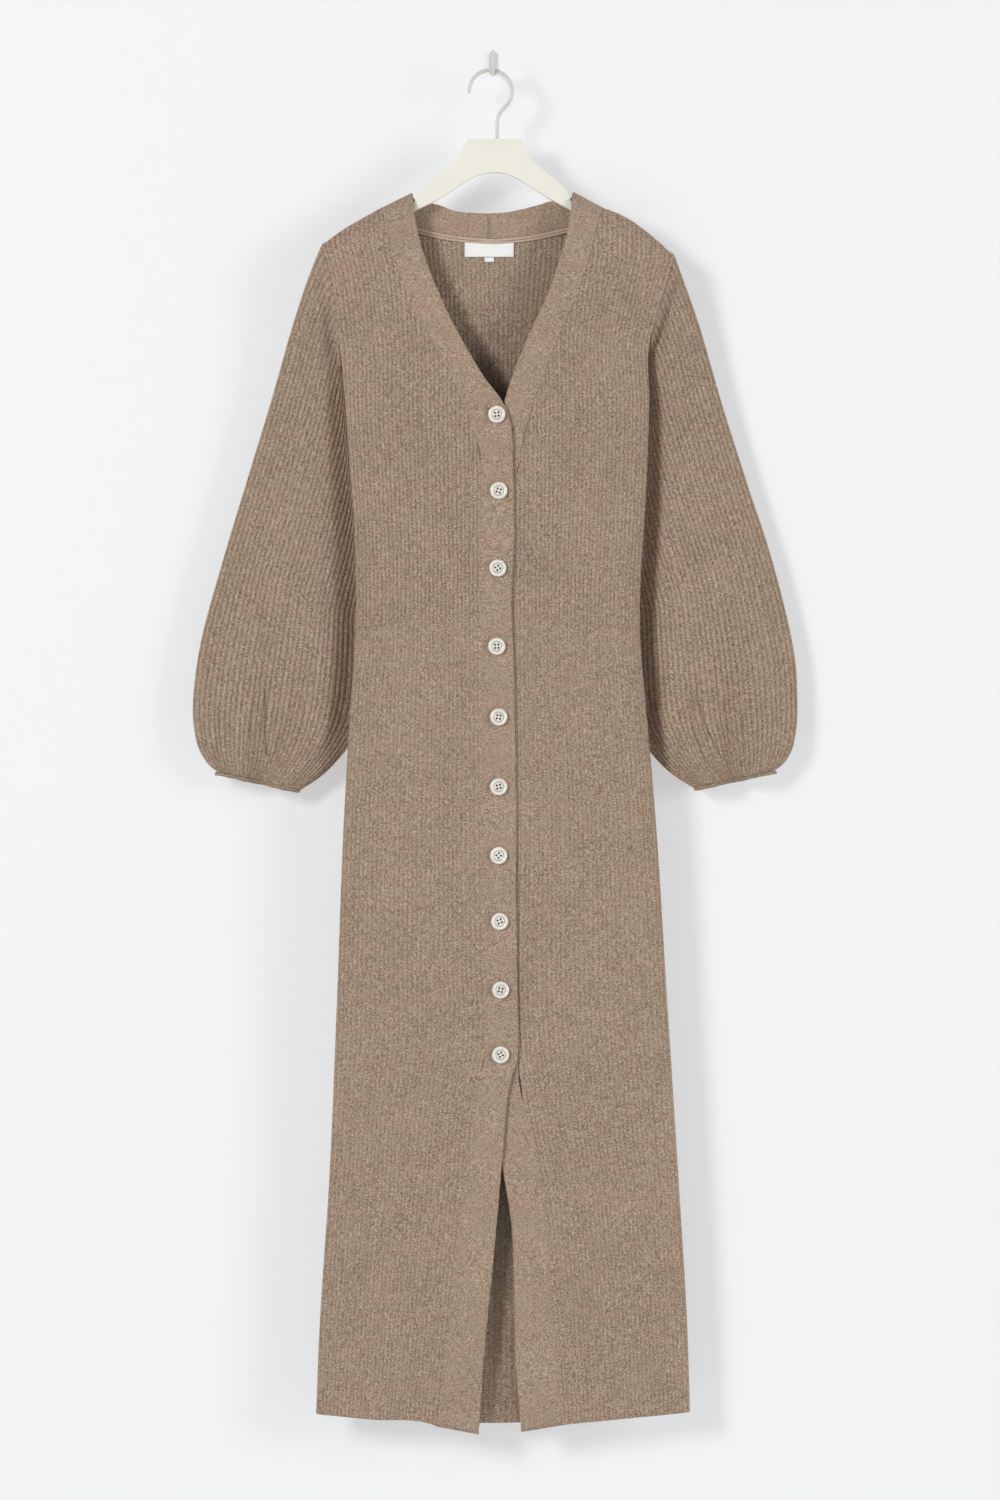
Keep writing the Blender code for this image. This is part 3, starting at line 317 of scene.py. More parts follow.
def body(face, x, z, over=False):
    """Points on the outside of the cloth, and the directions out of it."""
    x, z = np.broadcast_arrays(np.asarray(x, float), np.asarray(z, float))
    forward = -1 if face == "front" else 1
    depth = np.maximum(0, depth_power(face, x, z)) ** (1 / SQUARENESS)
    lift = OVERLAP_LIFT * smooth_step(x, OVERLAP_FROM, OVERLAP_FULL) if over and face == "front" else 0.0
    push = (fold_push(face, x, z) + soft_push(face, x, z)) * np.minimum(1, depth / SLACK_DEPTH) + lift
    y = read(DEPTHS, z, 3) + forward * (depth + SEAM_GAP / 2 + push)
    step = 0.5
    slope_x = (depth_power(face, x + step, z) - depth_power(face, x - step, z)) / (2 * step)
    slope_z = (depth_power(face, x, z + step) - depth_power(face, x, z - step)) / (2 * step)
    normals = np.stack([-slope_x, forward * SQUARENESS * depth ** (SQUARENESS - 1), -slope_z], axis=-1)
    lengths = np.linalg.norm(normals, axis=-1)
    flat = lengths < 1e-6
    normals[flat] = np.stack([np.sign(x[flat]), 0 * x[flat], 0 * x[flat]], axis=-1)
    lengths[flat] = 1
    return np.stack([x, y, z], axis=-1), normals / lengths[..., None]


ACROSS_STEPS = 24
EVEN_FROM, EVEN_FULL = -60, 20     # heights about the underarm, from spacing along the curve to plain spacing


def across(face, side, start_x, z, share):
    """x at a share of the way from start_x to the side fold, along the cloth at this height."""
    end_x = read(side["edge"], z)
    straight = start_x + (end_x - start_x) * share
    bent = 1 - smooth_step(z, side["bottom"] + EVEN_FROM, side["bottom"] + EVEN_FULL)
    turns = np.sin(np.linspace(0, 1, ACROSS_STEPS + 1) * math.pi / 2)
    places = start_x[..., None] + (end_x - start_x)[..., None] * turns
    depths = np.maximum(0, depth_power(face, places, z[..., None])) ** (1 / SQUARENESS)
    steps = np.hypot(np.diff(places), np.diff(depths))
    lengths = np.concatenate([np.zeros(steps.shape[:-1] + (1,)), np.cumsum(steps, axis=-1)], axis=-1)
    target = share * lengths[..., -1]
    index = np.clip((lengths <= target[..., None]).sum(axis=-1) - 1, 0, ACROSS_STEPS - 1)
    low = np.take_along_axis(lengths, index[..., None], -1)[..., 0]
    high = np.take_along_axis(lengths, index[..., None] + 1, -1)[..., 0]
    from_x = np.take_along_axis(places, index[..., None], -1)[..., 0]
    to_x = np.take_along_axis(places, index[..., None] + 1, -1)[..., 0]
    curved = from_x + (to_x - from_x) * (target - low) / np.maximum(high - low, 1e-9)
    return straight + (curved - straight) * bent


# ---------------------------------------------------------------- meshes
def put(name, data):
    """A new object in the scene."""
    made = bpy.data.objects.new(name, data)
    bpy.context.scene.collection.objects.link(made)
    return made


def link(name, mesh, material):
    """A piece of the dress or of what holds it, in its one material."""
    made = put(name, mesh)
    made.data.materials.append(material)
    if "rim" not in made.data.attributes:
        made.data.shade_smooth()
    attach(made, "root")
    return made


def face_outwards(mesh):
    built = bmesh.new()
    built.from_mesh(mesh)
    bmesh.ops.recalc_face_normals(built, faces=built.faces)
    built.to_mesh(mesh)
    built.free()
    return mesh


def shell(name, outer, inner, uv, material, closed=False, round_edge=False):
    """A closed wall between two grids of points (rows x columns x 3, millimetres), with a UV a point.
    Its cut edges are flat, but the first column's edge is round where round_edge is true."""
    rows, columns = outer.shape[:2]
    points = np.concatenate([outer.reshape(-1, 3), inner.reshape(-1, 3)]) * MM
    place = np.arange(rows * columns).reshape(rows, columns)
    if closed:
        place = np.column_stack([place, place[:, 0]])
        one_round = uv[0, -1, 0] - uv[0, 0, 0] + uv[0, 1, 0] - uv[0, 0, 0]
        uv = np.concatenate([uv, uv[:, :1] + np.array([one_round, 0])], axis=1)
    flat_uv = uv.reshape(-1, 2)
    uv_place = np.arange(uv.shape[0] * uv.shape[1]).reshape(uv.shape[:2])

    def quads(grid):
        return np.stack([grid[:-1, :-1], grid[1:, :-1], grid[1:, 1:], grid[:-1, 1:]], axis=-1).reshape(-1, 4)

    faces = [quads(place), quads(place + rows * columns)[:, ::-1]]
    face_uv = [quads(uv_place), quads(uv_place)[:, ::-1]]
    rims = [] if closed else [(place[:, 0], uv_place[:, 0], True), (place[:, -1], uv_place[:, -1], False)]
    rims += [(place[0], uv_place[0], False), (place[-1], uv_place[-1], True)]
    smooth_faces = 2 * len(faces[0]) + (rows - 1 if round_edge else 0)
    for rim, rim_uv, turned_over in rims:
        band = np.stack([rim[:-1], rim[1:], rim[1:] + rows * columns, rim[:-1] + rows * columns], axis=-1)
        band_uv = np.stack([rim_uv[:-1], rim_uv[1:], rim_uv[1:], rim_uv[:-1]], axis=-1)
        faces.append(band[:, ::-1] if turned_over else band)
        face_uv.append(band_uv[:, ::-1] if turned_over else band_uv)
    faces, face_uv = np.concatenate(faces), np.concatenate(face_uv)
    mesh = bpy.data.meshes.new(name)
    mesh.vertices.add(len(points))
    mesh.vertices.foreach_set("co", points.ravel())
    mesh.loops.add(faces.size)
    mesh.loops.foreach_set("vertex_index", faces.ravel().astype(np.int32))
    mesh.polygons.add(len(faces))
    mesh.polygons.foreach_set("loop_start", np.arange(0, faces.size, 4, dtype=np.int32))
    rim = mesh.attributes.new("rim", "BOOLEAN", "FACE")
    rim.data.foreach_set("value", np.arange(len(faces)) >= smooth_faces)
    mesh.polygons.foreach_set("use_smooth", np.arange(len(faces)) < smooth_faces)
    layer = mesh.uv_layers.new(name="knit")
    layer.data.foreach_set("uv", flat_uv[face_uv.ravel()].ravel())
    mesh.update(calc_edges=True)
    mesh.validate()
    return link(name, face_outwards(mesh), material)


# ---------------------------------------------------------------- colours and materials
def srgb(text):
    """A hex colour as the linear values that a shader takes."""
    values = [int(text[index:index + 2], 16) / 255 for index in (1, 3, 5)]
    linear = [value / 12.92 if value <= 0.04045 else ((value + 0.055) / 1.055) ** 2.4 for value in values]
    return (*linear, 1)


def add(tree, kind, links=None, **settings):
    """One node with its settings, and its inputs as values or as links from other nodes' outputs."""
    made = tree.nodes.new(kind)
    for name, value in settings.items():
        setattr(made, name, value)
    for key, value in (links or {}).items():
        if isinstance(value, bpy.types.NodeSocket):
            tree.links.new(value, made.inputs[key])
        else:
            made.inputs[key].default_value = value
    return made


def new_material(name, **constants):
    """A material, its node tree and its shader, whose inputs are named with _ for a space."""
    material = bpy.data.materials.new(name)
    material.use_nodes = True
    shader = material.node_tree.nodes["Principled BSDF"]
    for key, value in constants.items():
        shader.inputs[key.replace("_", " ")].default_value = value
    return material, material.node_tree, shader


def blend_colours(tree, factor, first, second):
    return add(tree, "ShaderNodeMix", {0: factor, 6: first, 7: second}, data_type="RGBA").outputs[2]


KNIT_ROSE = "#AD8475"
KNIT_OLIVE = "#988871"
KNIT_TAUPE = "#9F8574"
KNIT_PALE = "#D1BEA9"
KNIT_DARK = "#695747"
# the colour of the painted shade in the valleys between ribs
KNIT_VALLEY_SHADE = "#523F30"
CLOUDS = {
    # size of a patch in mm, how many times shorter along x, y and z, detail, seed
    "patches": (52, (1, 1, 3.6), 3.0, 3.1), "rows": (26, (1, 1, 4.5), 2.0, 8.4),
    # "fold" is painted shade of soft folds, laid in random patches; "tone" is a random change of tone
    "tone": (70, (1, 1, 1.2), 2.0, 6.7), "fold": (34, (1, 1, 0.8), 2.0, 4.4),
    # single fibres, drawn as coarse as they need to show
    "speckle": (1.9, (1, 1, 1.1), 2.0, 1.7), "fibres": (1.3, (1, 1, 1.1), 2.0, 5.2),
}
CLOUD_RANGE = (0.36, 0.64)    # the noise between these values is spread to the range 0 to 1
STITCH_SLANT = 1.1            # how steep a stitch's two legs are


def heathered_wool(name, relief_depth, stitch_high, stitches_across, valley_shade, stitch_light_shade_and_flecks):
    """Brushed wool-blend yarn, spun from taupe, rosy and olive-beige fibres: no gloss, a soft halo at
    grazing angles, cloudy patches where the fibres change and a different shade in each stitch. Painted
    light lies on each stitch's bulge, painted shade between the stitches, in the valleys between ribs and
    in random soft patches that stand for folds."""
    material, tree, shader = new_material(
        name, Roughness=0.97, IOR=1.45, Specular_IOR_Level=0.08, Sheen_Weight=0.16,
        Sheen_Roughness=0.55, Sheen_Tint=srgb("#D9C2AE"))
    knit = add(tree, "ShaderNodeUVMap", uv_map="knit").outputs[0]
    parts = add(tree, "ShaderNodeSeparateXYZ", {0: knit})
    place = add(tree, "ShaderNodeTexCoord").outputs["Object"]

    def calc(operation, *values):
        return add(tree, "ShaderNodeMath", dict(enumerate(values)), operation=operation).outputs[0]

    def cloud(kind):
        """Soft noise, spread to the range 0 to 1."""
        size, stretch, detail, seed = CLOUDS[kind]
        scaled = add(tree, "ShaderNodeMapping", {0: place, "Scale": stretch, "Location": (seed, seed * 2, 0)})
        made = add(tree, "ShaderNodeTexNoise", {0: scaled.outputs[0], "Scale": 1000 / size, "Detail": detail,
                                                "Roughness": 0.6})
        low, high = CLOUD_RANGE
        spread = add(tree, "ShaderNodeMapRange", {0: made.outputs[0], 1: low, 2: high, 3: 0.0, 4: 1.0})
        return spread.outputs[0]

    off_middle = calc("ABSOLUTE", calc("SUBTRACT", calc("FRACT", parts.outputs[0]), 0.5))
    # each stitch is a V: its two legs rise from the middle of the rib to its sides
    lean = calc("MULTIPLY_ADD", off_middle, STITCH_SLANT, calc("MULTIPLY", parts.outputs[1], 1 / stitch_high))
    leg = calc("FLOOR", calc("MULTIPLY", parts.outputs[0], float(stitches_across)))
    shift = add(tree, "ShaderNodeTexWhiteNoise", {1: leg}, noise_dimensions="1D").outputs[0]
    lean = calc("ADD", lean, shift)
    bulge = calc("SINE", calc("MULTIPLY", calc("FRACT", lean), math.pi))
    one_stitch = add(tree, "ShaderNodeCombineXYZ", {0: leg, 1: calc("FLOOR", lean)})
    shade = add(tree, "ShaderNodeTexWhiteNoise", {0: one_stitch.outputs[0]}, noise_dimensions="3D").outputs[0]
    stitch = calc("MULTIPLY", shade, bulge)
    speckle, fibres = cloud("speckle"), cloud("fibres")
    colour = blend_colours(tree, cloud("patches"), srgb(KNIT_OLIVE), srgb(KNIT_ROSE))
    layers = (
        # what the layer follows, the power that narrows it, its strength and colour
        (cloud("rows"), 1.0, 0.6, KNIT_TAUPE),
        (cloud("tone"), 1.0, 0.22, KNIT_DARK),
        # painted shade of soft folds, in random patches
        (cloud("fold"), 1.0, 0.22, KNIT_DARK),
        # painted light on each stitch's bulge and painted shade between stitches, stronger or weaker at
        # random from stitch to stitch
        (stitch, 1.4, stitch_light_shade_and_flecks, KNIT_PALE),
        (calc("SUBTRACT", 1.0, stitch), 3.0, 0.75 * stitch_light_shade_and_flecks, KNIT_DARK),
        (speckle, 2.0, 1.25 * stitch_light_shade_and_flecks, KNIT_DARK),
        (fibres, 2.0, 0.8, KNIT_PALE),
        # painted shade in the valleys between ribs, made uneven by the flecks
        (calc("MULTIPLY", off_middle, 2.0), 2.5, valley_shade, KNIT_VALLEY_SHADE),
    )
    for follows, power, strength, layer_colour in layers:
        amount = follows if power == 1.0 else calc("POWER", follows, power)
        amount = calc("MULTIPLY", amount, strength)
        if layer_colour == KNIT_VALLEY_SHADE:
            amount = calc("MULTIPLY", amount, calc("MULTIPLY_ADD", speckle, 0.8, 0.3))
        colour = blend_colours(tree, amount, colour, srgb(layer_colour))
    tree.links.new(colour, shader.inputs["Base Color"])
    relief = calc("ADD", calc("MULTIPLY", bulge, 0.7), calc("MULTIPLY", shade, 0.35))
    relief = calc("MULTIPLY_ADD", fibres, 0.4, relief)
    bump = add(tree, "ShaderNodeBump", {"Height": relief, "Distance": relief_depth * MM, "Strength": 0.9})
    tree.links.new(bump.outputs[0], shader.inputs["Normal"])
    return material


# relief in mm, height of a stitch, stitches across a rib, painted shade in the valleys between ribs, and
# painted light and shade on single stitches with dark flecks
RIB_KNIT = heathered_wool("wool rib knit", 0.4, STITCH, 2, 0.52, 0.5)
# the sleeves' knit differs from the bodice's only by deeper painted shade between its ribs
SLEEVE_KNIT = heathered_wool("wool rib knit, deeper painted valley shade", 0.4, STITCH, 2, 0.68, 0.5)
MOTTLED_KNIT = heathered_wool("wool rib knit, flatter", 0.45, STITCH, 2, 0.38, 0.5)
BAND_KNIT = heathered_wool("wool fine knit", 0.3, BAND_STITCH, 1, 0.1, 0.4)


def plain_finish(name, colour, other, size, roughness, relief, **more):
    """A finish with a faint change of tone and a fine surface grain of the given size in millimetres."""
    material, tree, shader = new_material(name, Roughness=roughness, **more)
    place = add(tree, "ShaderNodeTexCoord").outputs["Object"]
    tone = add(tree, "ShaderNodeTexNoise", {0: place, "Scale": 1000 / size, "Detail": 3.0}).outputs[0]
    mixed = blend_colours(tree, tone, srgb(colour), srgb(other))
    tree.links.new(mixed, shader.inputs["Base Color"])
    grain = add(tree, "ShaderNodeTexNoise", {0: place, "Scale": 4000 / size, "Detail": 2.0}).outputs[0]
    bump = add(tree, "ShaderNodeBump", {"Height": grain, "Distance": relief * MM, "Strength": 0.6})
    tree.links.new(bump.outputs[0], shader.inputs["Normal"])
    return material


# cream satin lacquer on beech: even, with a faint orange-peel and soft highlights
LACQUER = plain_finish("satin lacquered beech", "#EFEDE2", "#E7E4D8", 40, 0.42, 0.05, Coat_Weight=0.15)
# pale grey powder coat on steel wire: smooth, slightly glossy
WIRE_PAINT = plain_finish("powder coated steel wire", "#D6D6D2", "#C6C6C2", 12, 0.3, 0.02)
# polished sea shell: pale, cloudy, with a pearly gloss
SHELL = plain_finish("polished pearl shell", "#CFC8BC", "#FBF8F2", 9, 0.2, 0.03, Coat_Weight=0.6,
                     Coat_Roughness=0.1)
# the same shell, greyer in a ring where the rim slopes down into the dished middle: painted shade of that
# groove
SHELL_GROOVE_SHADE = plain_finish("shell with painted groove shade", "#9D9384", "#B8AE9F", 3, 0.3, 0.03)
# satin-woven polyester tape: white, very fine weave
TAPE = plain_finish("woven polyester tape", "#F2F2F0", "#E8E8E6", 1.2, 0.75, 0.04)
# spun sewing thread: near black, matt, fuzzy
THREAD = plain_finish("spun sewing thread", "#2E241B", "#1F1812", 1.0, 0.85, 0.1)
# the wool yarn of the linked seam, drawn paler than the knit, twisted and pulled tight
SEAM_YARN = plain_finish("wool yarn, linked", "#D3BCA8", "#B49C88", 2.0, 0.95, 0.4, Sheen_Weight=0.25)


# ---------------------------------------------------------------- body panels
def rib_profile(place):
    """Height of the round ribs, 0 in the valleys and 1 on top, where one rib is one unit long."""
    return np.abs(np.sin(math.pi * place)) ** 0.75


def rib_columns(ribs):
    """Where the columns of points stand, counted in ribs."""
    places = np.add.outer(np.arange(ribs), np.array(RIB_PLACES)).ravel()
    return np.append(places, float(ribs))


def rows_down(height, first=(0.0, 0.8, 2.0, 4.0, 7.0, 11.0, 16.0), step=6.0, last=(4.0, 1.6, 0.0)):
    """Shares of the height at which the rows of points lie, close together at both ends."""
    middle = np.arange(first[-1] + step, height - last[0] - step / 2, step)
    return np.concatenate([first, middle, [height - drop for drop in last]]) / height


def wander(count, length, amount, cycles=(0.8, 2.1, 4.3)):
    """A slow random swing for each rib, along its length (a table of count x length)."""
    places = np.linspace(0, 1, length)
    swing = np.zeros((count, length))
    for cycle in cycles:
        phase = SHAPES.uniform(0, 2 * math.pi, (count, 1))
        swing += SHAPES.uniform(0.3, 1.0, (count, 1)) * np.sin(2 * math.pi * cycle * places + phase)
    return swing * amount / len(cycles)


HIGHEST_TOP, LOWEST_TOP = -120.0, -560.0     # between these heights a panel's top is sought


def top_of(face, side, start, shares, neck):
    """Heights at which the ribs meet the neck band's seam or the shoulder."""
    low, high = np.full(len(shares), LOWEST_TOP), np.full(len(shares), HIGHEST_TOP)
    outside = {"left": 0.0} if side is LEFT else {"right": 0.0}
    for _ in range(30):
        middle = (low + high) / 2
        x = across(face, side, np.full(len(shares), start), middle, shares)
        limit = np.minimum(read(SHOULDER, x), np.interp(x, neck[:, 0], neck[:, 1], **outside) + TUCK)
        above = middle > limit
        high = np.where(above, middle, high)
        low = np.where(above, low, middle)
    return low


def waist_of(face, side, start, shares):
    """Heights of the waist seam at the ribs: it drops towards the sides."""
    waist = WAISTS[face]
    level = np.full(len(shares), waist["middle"])
    x = across(face, side, np.full(len(shares), start), level, shares)
    return waist["middle"] - waist["drop"] * np.abs(x / WAIST_HALF_WIDTH) ** waist["curve"]


# the two lengths of a panel: how high its ribs stand, how far it sinks into its top and bottom seam,
# its armhole's ridge and its knit
LENGTHS = {
    "bodice": {"rise": BODICE_RIB, "top_dip": 0.3, "bottom_dip": -0.1, "ridge": ARMHOLE_RIDGE,
               "knit": RIB_KNIT},
    "skirt": {"rise": SKIRT_RIB, "top_dip": 0.5, "bottom_dip": 0.4, "ridge": 0.0, "knit": MOTTLED_KNIT},
}
BODICE_HEIGHT, SKIRT_HEIGHT = 400, 845       # the nominal heights that the rows are spaced for
SKIRT_ROW_STEP = {"front": 8.5, "back": 9.5}
SKIRT_FIRST_ROWS = (0.0, 0.8, 2.0, 4.0)
WAIST_SEAM = (0.5, 0.3)                      # the bodice ends and the skirt starts this far from its line
START_LEVEL = -300.0                         # where a front panel's edge stands, for its top and waist


def panel_half(part, face, side, start_x, ribs, neck_seam, over=False):
    """One side of a bodice or skirt panel: its base points, directions, column places counted in ribs and
    UVs.
    """
    columns = rib_columns(ribs)
    shares = columns / ribs
    start = float(start_x(np.array([START_LEVEL]))[0])
    waist = waist_of(face, side, start, shares)
    if part == "bodice":
        top, bottom = top_of(face, side, start, shares, neck_seam), waist - WAIST_SEAM[0]
        rows = rows_down(BODICE_HEIGHT)
    else:
        level = np.full(len(shares), HEM_LEVEL)
        top = waist + WAIST_SEAM[1]
        bottom = read(HEMS[face], across(face, side, start_x(level), level, shares))
        rows = rows_down(SKIRT_HEIGHT, SKIRT_FIRST_ROWS, SKIRT_ROW_STEP[face])
    z = top[None] + (bottom - top)[None] * rows[:, None]
    swing = wander(ribs + 1, len(rows), RIB_SWING).T
    moved = columns[None] + swing[:, np.minimum(np.round(columns).astype(int), ribs)] * np.minimum(
        1, np.minimum(columns, ribs - columns))[None]
    x = across(face, side, start_x(z), z, moved / ribs)
    points, normals = body(face, x, z, over)
    at_armhole = (np.abs(shares - 1) < 1e-9)[None] & (z > side["bottom"])
    points[..., 0] -= np.where(at_armhole, side["sign"] * SEAM_GAP / 2, 0)
    uv = np.stack([np.broadcast_to(columns[None], z.shape), (top[0] - z)], axis=-1)
    return {"points": points, "normals": normals, "ribs": columns, "uv": uv}


def turned_over(half):
    """A half whose columns run from the side fold to the centre, for the left of the back."""
    half = {key: value[..., ::-1, :] if value.ndim == 3 else -value[::-1] for key, value in half.items()}
    half["uv"] = half["uv"] * np.array([-1, 1])
    return half


def without_first(half):
    """A half without the column that the other one has already."""
    return {key: value[..., 1:, :] if value.ndim == 3 else value[1:] for key, value in half.items()}


def seam_dip(away, depth, width):
    """How far the cloth sinks towards a seam, at a distance from it."""
    return depth * np.clip(1 - away / width, 0, 1) ** 2


def down_columns(points):
    """Distances down each column from the first row and from the last one, and the share of their height
    that the ribs have there."""
    steps = np.linalg.norm(np.diff(points, axis=0), axis=-1)
    from_top = np.concatenate([np.zeros((1, points.shape[1])), np.cumsum(steps, axis=0)])
    from_bottom = from_top[-1] - from_top
    fade = (np.clip(RIB_START + from_top / 2, RIB_START, 1)
            * np.clip(RIB_START + from_bottom / 2, RIB_START, 1))
    return from_top, from_bottom, fade


SEAM_DIP_WIDTH = 2.6
SIDE_FOLD_BEYOND = 100     # an edge column past this x is a side fold, not an opening's edge


def finish_panel(node, halves, part):
    """A corrugated shell from one or two halves, with a ridge along each armhole's seam."""
    points, normals, uv = (np.concatenate([half[key] for half in halves], axis=1)
                           for key in ("points", "normals", "uv"))
    ribs = np.concatenate([half["ribs"] for half in halves])
    rise, ridge = LENGTHS[part]["rise"], LENGTHS[part]["ridge"]
    from_top, from_bottom, fade = down_columns(points)
    profile = rib_profile(ribs)[None]
    sink = (seam_dip(from_top, LENGTHS[part]["top_dip"], SEAM_DIP_WIDTH)
            + seam_dip(from_bottom, LENGTHS[part]["bottom_dip"], SEAM_DIP_WIDTH))
    uneven = 1 + 0.3 * wander(1, points.shape[1], 1.0, (7.0, 19.0, 31.0))
    height = -VALLEY_SINK + (rise + VALLEY_SINK) * profile * fade * uneven - sink
    if ridge:
        for column, side in ((0, LEFT), (-1, RIGHT)):
            edge = points[:, [column]]
            away = np.linalg.norm(points - edge, axis=-1)
            swell = np.exp(-((away - ARMHOLE_RIDGE_AWAY) / ARMHOLE_RIDGE_WIDTH) ** 2)
            swell = swell * (side["sign"] * edge[..., 0] > SIDE_FOLD_BEYOND)
            swell = swell * smooth_step(points[..., 2], side["bottom"] - 15, side["bottom"] + 25)
            height = height * (1 - 0.6 * swell) + ridge * swell
    inner = -KNIT_WALL + 0.6 * rise * profile * fade
    piece = shell("knit_" + node, points + normals * height[..., None], points + normals * inner[..., None],
                  uv, LENGTHS[part]["knit"])
    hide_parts(node)


def seam_table(*tables):
    """Where the neck band's seam runs, as x and z from left to right."""
    seam = np.concatenate([through([(row[2], row[3]) for row in rows]) for rows in tables])
    return seam[np.argsort(seam[:, 0])]


def body_panels():
    for word, side, placket, neck in (("left", LEFT, LEFT_PLACKET, LEFT_NECK),
                                      ("right", RIGHT, RIGHT_PLACKET, RIGHT_NECK)):
        seam = along_key([(row[0], row[2]) for row in placket])

        def start_x(z, seam=seam, highest=placket[0][0], side=side):
            return read(seam, np.minimum(z, highest)) - side["sign"] * TUCK

        for part in LENGTHS:
            half = panel_half(part, "front", side, start_x, FRONT_RIBS, seam_table(neck), side is LEFT)
            finish_panel("front_%s_%s" % (part, word), [half], part)

    back_seam = seam_table(LEFT_NECK[-1:] + LEFT_BACK_NECK, RIGHT_NECK[-1:] + RIGHT_BACK_NECK)

    def centre(z):
        return np.full(z.shape, CENTRE_BACK)

    backs = {part: [] for part in LENGTHS}
    for side in (LEFT, RIGHT):
        for part, halves in backs.items():
            half = panel_half(part, "back", side, centre, BACK_RIBS, back_seam)
            halves.append(turned_over(half) if side is LEFT else without_first(half))
    for part, halves in backs.items():
        finish_panel("back_" + part, halves, part)


# ---------------------------------------------------------------- bands
BAND_SHARES = np.concatenate([[0, 0.012, 0.03, 0.06, 0.1], np.linspace(0.17, 0.9, 9), [0.95, 1.0]])
BAND_ROW_STEP = 5.0
BEFORE_SHOULDER = (6.0, 3.0, 1.2, 0.0)       # the last rows in front of the shoulder line
AFTER_SHOULDER = (1.0, 2.5)
BAND_RIB_PITCH = 2.1
EDGE_SWELL = {"height": 0.35, "away": 2.2, "width": 1.8}   # beside the free edge


def band_grid(rows, over, centre_shift, wave):
    """Base points and directions. Each row: face, then free x, z, seam x, z."""
    points, normals = [], []
    for place, (face, row) in enumerate(rows):
        free, seam = np.array(row[0:2]), np.array(row[2:4])
        free = free + (seam - free) / np.linalg.norm(seam - free) * wave[place]
        line = free[None] + (seam - free)[None] * BAND_SHARES[:, None]
        row_points, row_normals = body(face, line[:, 0], line[:, 1], over)
        if face == "front" and place + 1 < len(rows) and rows[place + 1][0] == "back":
            # the shoulder line itself
            row_points[:, 1] = read(DEPTHS, row_points[:, 2], 3)
            row_normals = np.tile(np.array([0.0, 0.0, 1.0]), (len(BAND_SHARES), 1))
        points.append(row_points)
        normals.append(row_normals)
    points, normals = np.array(points), np.array(normals)
    points[-1, :, 0] += centre_shift
    return points, normals


def band_rows(neck, back_neck, placket):
    """The band's rows from the hem to the centre back, evenly spaced, with some more about the shoulder."""
    straight = [(row[1], row[0], row[2], row[0]) for row in sorted(placket)]
    straight[0] = straight[0][:3] + (float(read(HEMS["front"], straight[0][2])),)
    front = through(straight[:-1] + list(neck), 1)
    dense = []
    for rows, face in ((front, "front"), (np.array([neck[-1]] + list(back_neck)), "back")):
        table = through(rows, 16)
        # both edges count in a step, so it is about root 2 too long
        length = np.concatenate([[0], np.cumsum(np.linalg.norm(np.diff(table, axis=0), axis=1) / 1.4)])
        wanted = np.linspace(0, length[-1], int(length[-1] / BAND_ROW_STEP) + 1)
        if face == "back":
            wanted = np.unique(np.concatenate([AFTER_SHOULDER, wanted[1:]]))
        else:
            wanted = np.unique(np.concatenate([wanted[:-1], length[-1] - np.array(BEFORE_SHOULDER)]))
        for at in wanted:
            dense.append((face, [float(np.interp(at, length, table[:, index])) for index in range(4)]))
    return dense


def make_band(word, neck, back_neck, placket, over, centre_shift):
    rows = band_rows(neck, back_neck, placket)
    count = len(rows)
    wave = 0.35 * wander(1, count, 1.0, (9.0, 21.0, 40.0))[0] + 0.25 * SHAPES.uniform(-1, 1, count)
    points, normals = band_grid(rows, over, centre_shift, wave)
    across_it = np.linalg.norm(points - points[:, :1], axis=-1)
    along_it = np.concatenate([[0], np.cumsum(np.linalg.norm(np.diff(points[:, 5], axis=0), axis=-1))])
    half = BAND_WALL / 2
    edge = np.sqrt(np.clip(1 - (1 - np.clip(across_it / half, 0, 1)) ** 2, 0, 1))
    swell = EDGE_SWELL["height"] * np.exp(-((across_it - EDGE_SWELL["away"]) / EDGE_SWELL["width"]) ** 2)
    seam_away = across_it[:, -1:] - across_it
    outer = points + normals * (-half + half * edge + swell + seam_dip(seam_away, 0.2, 2.0))[..., None]
    inner = points + normals * (-half - half * edge)[..., None]
    uv = np.stack([across_it / BAND_RIB_PITCH, np.broadcast_to(along_it[:, None], across_it.shape)], axis=-1)
    piece = shell("knit_band_" + word, outer, inner, uv, BAND_KNIT, round_edge=True)
    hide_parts("band_" + word, "neck_band_" + word)


# ---------------------------------------------------------------- sleeves
def superellipse(angles):
    """A flattened section's shares across and deep, from -1 to 1. Angle 0 is its outer fold, and a quarter
    turn is its front."""
    along = np.sign(np.cos(angles)) * np.abs(np.cos(angles)) ** (2 / SQUARENESS)
    deep = np.sign(np.sin(angles)) * np.abs(np.sin(angles)) ** (2 / SQUARENESS)
    return along, deep


def sleeve_columns(table, stations):
    """A sleeve table's six columns, read at stations down the sleeve (row numbers and between them)."""
    fine = through(table, 20)
    places = np.linspace(0, len(table) - 1, len(fine))
    return [np.interp(stations, places, fine[:, index]) for index in range(6)]


